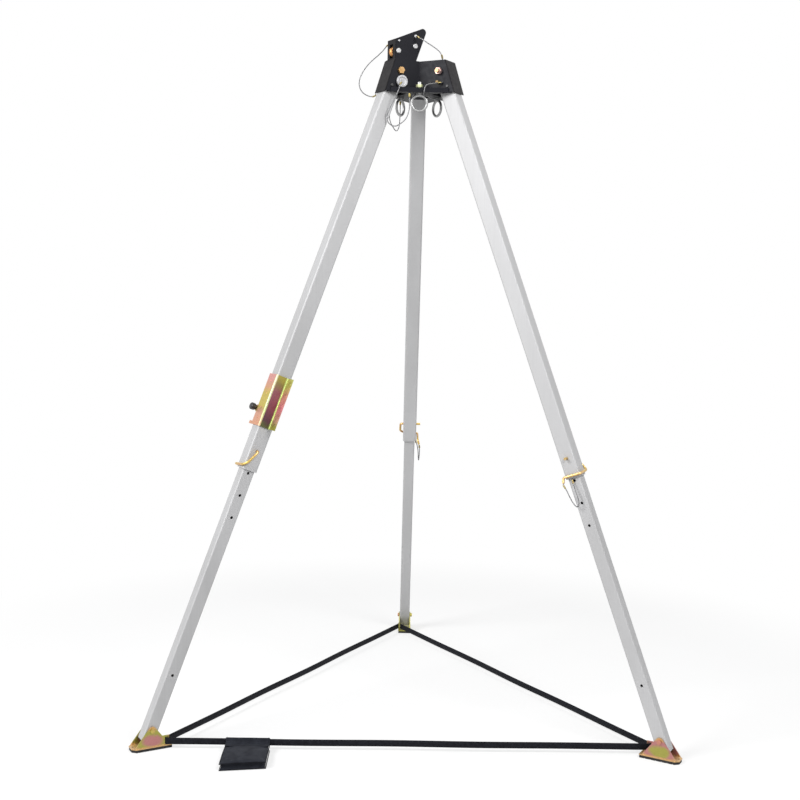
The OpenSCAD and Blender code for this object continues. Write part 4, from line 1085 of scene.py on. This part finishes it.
def strapProfile():
    # flat band with rounded selvedges, thickness first
    t, w, r = strap["thick"] / 2, strap["width"], strap["selvedge"]
    return [(-t, r), (-t, w / 2), (-t, w - r), (-t + r, w), (t - r, w),
            (t, w - r), (t, w / 2), (t, r), (t - r, 0), (-t + r, 0)]


def strapLine(start, finishLeg):
    s = strap
    inside = floorPoint(start, s["slotAt"], s["cheekIn"] - s["slotIn"], s["low"])
    outside = floorPoint(start, s["slotAt"], s["cheekOut"] + s["slotOut"], s["low"])
    far = floorPoint(finishLeg, s["slotAt"], s["cheekIn"] - s["farIn"], s["low"])
    run = far - outside
    count = int(run.length / s["step"])
    points = [inside, (inside + outside) / 2]
    side = Vector((-run.y, run.x, 0)).normalized()
    for k in range(count + 1):
        u = k / count
        sway = s["wave"] * math.sin(math.pi * u) * math.sin(s["waves"] * math.pi * u + s["phase"])
        points.append(outside + run * u + side * sway)
    return points


def strapPiece(name, points, along, bodies, near, far):
    bm = bmesh.new()
    n = len(points)
    stations = []
    for k in range(n):
        ahead = points[min(k + 1, n - 1)] - points[max(k - 1, 0)]
        ahead = Vector((ahead.x, ahead.y, 0)).normalized()
        stations.append((points[k], Vector((-ahead.y, ahead.x, 0)), Vector((0, 0, 1))))
    profile = strapProfile()
    rings = extrudeAlong(bm, profile, stations)
    edge = [y for _, y in profile]
    mapAlong(bm, rings, along, edge + [edge[0]])
    obj = finishMesh(bm, name, finish["strap"], 60)
    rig.blend(obj, bodies[0], bodies[1], near, far)
    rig.slot(obj, "webbing")
    return obj


def makeSpan(spanName, start, end):
    points = strapLine(start, end)
    run = runLengths(points)
    total = run[-1]

    def nearest(length):
        return min(range(len(run)), key=lambda i: abs(run[i] - length))

    footEnd, legEnd, footNear = strap["footEnd"], strap["legEnd"], strap["footNear"]
    marks = [0, footEnd, legEnd, total / 2, total - legEnd, total - footEnd, total]
    cuts = [nearest(m) for m in marks]
    slideFrom = strap["pouchEnd"] if spanName == "strap_front" else footEnd
    plan = [  # the two bodies of each piece, and the lengths between which it passes from one to the other
        ("foot_" + start, "lower_leg_" + start, footNear, footEnd),
        ("lower_leg_" + start, "upper_leg_" + start, slideFrom, legEnd),
        ("upper_leg_" + start, "head", legEnd, total / 2),
        ("head", "upper_leg_" + end, total / 2, total - legEnd),
        ("upper_leg_" + end, "lower_leg_" + end, total - legEnd, total - footEnd),
        ("lower_leg_" + end, "foot_" + end, total - footEnd, total - footNear),
    ]
    for k, (a, b, near, far) in enumerate(plan):
        i, j = cuts[k], cuts[k + 1]
        ends = points[nearest(near)], points[nearest(far)]
        piece = strapPiece(f"{spanName}_{k + 1}", points[i:j + 1], run[i:j + 1], (a, b), *ends)
        if k == 0:
            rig.replaces(piece, spanName)


for spanName, (start, end) in strap["spans"].items():
    makeSpan(spanName, start, end)
print("strap made")

# pouch: a flat bag on the floor before the front strap, its flap folded over the strap
pouch = {
    "at": 0.222, "width": 0.162, "length": 0.1935, "slant": 0.0127, "columns": 34, "rows": 38,
    "backThick": 0.019, "midThick": 0.026, "endThick": 0.025, "crown": 0.0035, "slack": 0.0012,
    "lift": 0.0012, "riseRate": 1.6, "fallFrom": 0.6, "flatDome": 0.35, "pinch": 0.007,
    "pinchPower": 0.8, "backGap": 0.0062, "sideCuts": 5,
    "pressure": 1.6, "stiffness": 40, "frames": 14, "cap": 0.005,
    "seamWidth": 0.0016, "seamSink": 0.0006, "seamFloor": 0.0022, "seamSteps": 16,
}
pouchFrom = floorPoint("left", strap["slotAt"], strap["cheekOut"] + strap["slotIn"], 0)
pouchTo = floorPoint("right", strap["slotAt"], strap["cheekIn"] - strap["farIn"], 0)
strapWay = (pouchTo - pouchFrom).normalized()
pouchPlace = (
    Matrix.Translation(pouchFrom + strapWay * (pouch["at"] + pouch["width"] / 2))
    @ Matrix.Rotation(math.atan2(strapWay.y, strapWay.x), 4, "Z"))


def bagSpot(u, v):
    # place on the bag: u across from -1 to 1, v from the strap at 0 to the outer end at 1
    back, outer = -pouch["backGap"], -pouch["length"] + pouch["slant"] * u
    return u * pouch["width"] / 2, back + (outer - back) * v


def bagTop(u, v):
    # height of the top cloth: low at the strap, full past the middle, crowned between its seams
    back, mid, end = pouch["backThick"], pouch["midThick"], pouch["endThick"]
    base = back + (mid - back) * math.sin(min(v * pouch["riseRate"], 1) * math.pi / 2)
    base += (end - mid) * max(0, v - pouch["fallFrom"]) / (1 - pouch["fallFrom"])
    flat = pouch["flatDome"]
    dome = pouch["crown"] * (1 - u * u) * (flat + (1 - flat) * math.sin(math.pi * min(v, 1)))
    slack = pouch["slack"] * math.sin(5.2 * u + 3 * v) * math.sin(math.pi * v) * (1 - u * u)
    return base + dome + slack


def hang(obj):  # the pouch's pieces ride the left lower leg
    obj.data.transform(pouchPlace)
    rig.ride(obj, "lower_leg_left")
    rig.slot(obj, "pouch_cloth")


def settle(obj, held):
    # a little air in the bag: short cloth run with the floor side held, movement capped
    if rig.quick():
        return
    group = obj.vertex_groups.new(name="held")
    group.add(held, 1.0, "REPLACE")
    cloth = obj.modifiers.new("cloth", "CLOTH")
    cloth.settings.vertex_group_mass = "held"
    cloth.settings.use_pressure = True
    cloth.settings.uniform_pressure_force = pouch["pressure"]
    cloth.settings.effector_weights.gravity = 0
    cloth.settings.tension_stiffness = pouch["stiffness"]
    cloth.settings.compression_stiffness = pouch["stiffness"]
    cloth.point_cache.frame_start = 1
    cloth.point_cache.frame_end = pouch["frames"]
    for f in range(1, pouch["frames"] + 1):
        scene.frame_set(f)
    moved = obj.evaluated_get(bpy.context.evaluated_depsgraph_get()).data.vertices
    places = [v.co.copy() for v in moved]
    obj.modifiers.remove(cloth)
    obj.vertex_groups.clear()
    for v, place in zip(obj.data.vertices, places):
        step = place - v.co
        v.co += step * min(1, pouch["cap"] / max(step.length, 1e-9))
        v.co.z = max(v.co.z, pouch["lift"])
    scene.frame_set(1)


bm = bmesh.new()
bmesh.ops.create_grid(bm, x_segments=pouch["columns"], y_segments=pouch["rows"], size=1)
copied = bmesh.ops.duplicate(bm, geom=bm.verts[:] + bm.edges[:] + bm.faces[:])["geom"]
lower = {g for g in copied if isinstance(g, bmesh.types.BMVert)}
for v in bm.verts:
    u, w = v.co.x, (1 - v.co.y) / 2
    x, y = bagSpot(u, w)
    v.co = (x, y, pouch["lift"] if v in lower else bagTop(u, w))
rims = [e for e in bm.edges if len(e.link_faces) == 1]
walls = bmesh.ops.bridge_loops(bm, edges=rims)["faces"]
upright = {e for f in walls for e in f.edges if abs(e.verts[0].co.z - e.verts[1].co.z) > 0.01}
split = bmesh.ops.subdivide_edges(bm, edges=list(upright), cuts=pouch["sideCuts"], use_grid_fill=True)
for v in split["geom_inner"]:  # the side walls are drawn in between their seams
    if not isinstance(v, bmesh.types.BMVert):
        continue
    h = v.co.z / pouch["endThick"]
    fold = pouch["pinch"] * math.sin(math.pi * min(max(h, 0), 1)) ** pouch["pinchPower"]
    x, y = v.co.x, v.co.y
    u = 2 * x / pouch["width"]
    if 1 - abs(u) < 0.01:
        v.co.x -= math.copysign(fold, x)
    if y - bagSpot(u, 1)[1] < 0.001:
        v.co.y += fold
bm.verts.index_update()
bagHeld = [v.index for v in bm.verts if v in lower]
bag = finishMesh(bm, "pouch_bag", finish["cloth"], 50)
settle(bag, bagHeld)
hang(bag)
puff = bag.modifiers.new("round_cloth", "SUBSURF")
puff.levels = puff.render_levels = 1
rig.replaces(bag, "pouch")
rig.padded(bag, fill=0.35)


# bound seams round the top and the floor side of the bag
def makeSeam(name, high):
    n = pouch["seamSteps"]
    left = [(-1, k / n) for k in range(1, n + 1)]
    end = [(2 * k / n - 1, 1) for k in range(1, n)]
    right = [(1, 1 - k / n) for k in range(n)]
    points = []
    for u, v in left + end + right:
        x, y = bagSpot(u, v)
        points.append(Vector((x, y, bagTop(u, v) - pouch["seamSink"] if high else pouch["seamFloor"])))
    bm = bmesh.new()
    extrudeAlong(bm, circleProfile(pouch["seamWidth"], 8), framesAlong(points))
    hang(finishMesh(bm, name, finish["binding"], 60))


makeSeam("pouch_seam_top", True)
makeSeam("pouch_seam_floor", False)

# flap: up behind the strap, over it, and down to lie on the bag
flap = {
    "thick": 0.0018, "columns": 30, "corner": 0.006, "ripple": 0.0009, "rippleRate": 70,
    "rippleFrom": 1.2, "curl": 0.0016,
    "stitchIn": 0.005, "stitchLength": 0.003, "stitchPitch": 0.0046, "stitchFrom": 0.034,
    "stitchOff": -0.0002, "stitchWide": 0.0009, "stitchHigh": 0.0007,
    "line": [
        (0.0034, 0.012), (0.0034, 0.026), (0.0034, 0.038), (0.0026, 0.0428), (0.0, 0.0445), (-0.0028, 0.043),
        (-0.0055, 0.0385), (-0.0095, 0.0325), (-0.016, 0.0287), (-0.026, 0.0282), (-0.036, 0.0288),
        (-0.046, 0.0292)],
}
half = pouch["width"] / 2
flapLine = smoothRoute([Vector((0, y, z)) for y, z in flap["line"]], 4)
flapRun = runLengths(flapLine)


def flapSpot(x, k, off=0.0):
    # place on the flap: x across it, k along its line, off above its cloth
    n = len(flapLine)
    way = (flapLine[min(k + 1, n - 1)] - flapLine[max(k - 1, 0)]).normalized()
    face = Vector((0, way.z, -way.y))
    late = flapRun[k] / flapRun[-1]
    ripple = flap["ripple"] * math.sin(flap["rippleRate"] * x + flap["rippleFrom"]) * late ** 2
    curl = flap["curl"] * late ** 6 * (abs(x) / half) ** 3
    return Vector((x, flapLine[k].y, flapLine[k].z + ripple + curl)) - face * off


bm = bmesh.new()
columns = [-half + 2 * half * k / flap["columns"] for k in range(flap["columns"] + 1)]
rows = [[bm.verts.new(flapSpot(x, k)) for x in columns] for k in range(len(flapLine))]
for low, high in zip(rows, rows[1:]):
    for k in range(flap["columns"]):
        bm.faces.new((low[k], low[k + 1], high[k + 1], high[k]))
bmesh.ops.recalc_face_normals(bm, faces=bm.faces)
corners = [v for v in bm.verts if len(v.link_edges) == 2]
bmesh.ops.bevel(bm, geom=corners, offset=flap["corner"], segments=3, profile=0.5, affect="VERTICES",
                material=-1)
bmesh.ops.solidify(bm, geom=bm.faces[:], thickness=flap["thick"])
flapObj = finishMesh(bm, "pouch_flap", finish["cloth"], 50)
hang(flapObj)

# stitches sewn along the flap's free edges
bm = bmesh.new()
spots = []
inset = flap["stitchIn"]
lastRow = max(k for k in range(len(flapRun)) if flapRun[k] < flapRun[-1] - inset)
firstRow = min(k for k in range(len(flapRun)) if flapRun[k] > flap["stitchFrom"])
count = int((pouch["width"] - 2 * inset) / flap["stitchPitch"])
for k in range(count + 1):
    x = -half + inset + k * flap["stitchPitch"]
    spots.append((flapSpot(x, lastRow, flap["stitchOff"]), Vector((1, 0, 0))))
for side in (-1, 1):
    travel = flapRun[firstRow]
    for k in range(firstRow, lastRow):
        while travel < flapRun[k + 1]:
            u = (travel - flapRun[k]) / (flapRun[k + 1] - flapRun[k])
            a, b = (flapSpot(side * (half - inset), j, flap["stitchOff"]) for j in (k, k + 1))
            spots.append((a.lerp(b, u), (b - a).normalized()))
            travel += flap["stitchPitch"]
for spot, way in spots:
    turn = way.to_track_quat("X", "Z").to_matrix().to_4x4()
    size = Matrix.Diagonal((flap["stitchLength"], flap["stitchWide"], flap["stitchHigh"], 1))
    bmesh.ops.create_cube(bm, size=1, matrix=Matrix.Translation(spot) @ turn @ size)
stitches = finishMesh(bm, "pouch_stitches", finish["binding"], 30)
hang(stitches)
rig.sheet(flapObj, flat=(pouch["width"], round(flapRun[-1], 3)), held="folded",
         rests_on=["strap_front_2", "pouch_bag"], with_pieces=[stitches])
print("pouch made")

newLow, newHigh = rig.bounds()
json.dump({"cad": [list(cadLow), list(cadHigh)], "visual": [list(newLow), list(newHigh)]}, open("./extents.json", "w"))
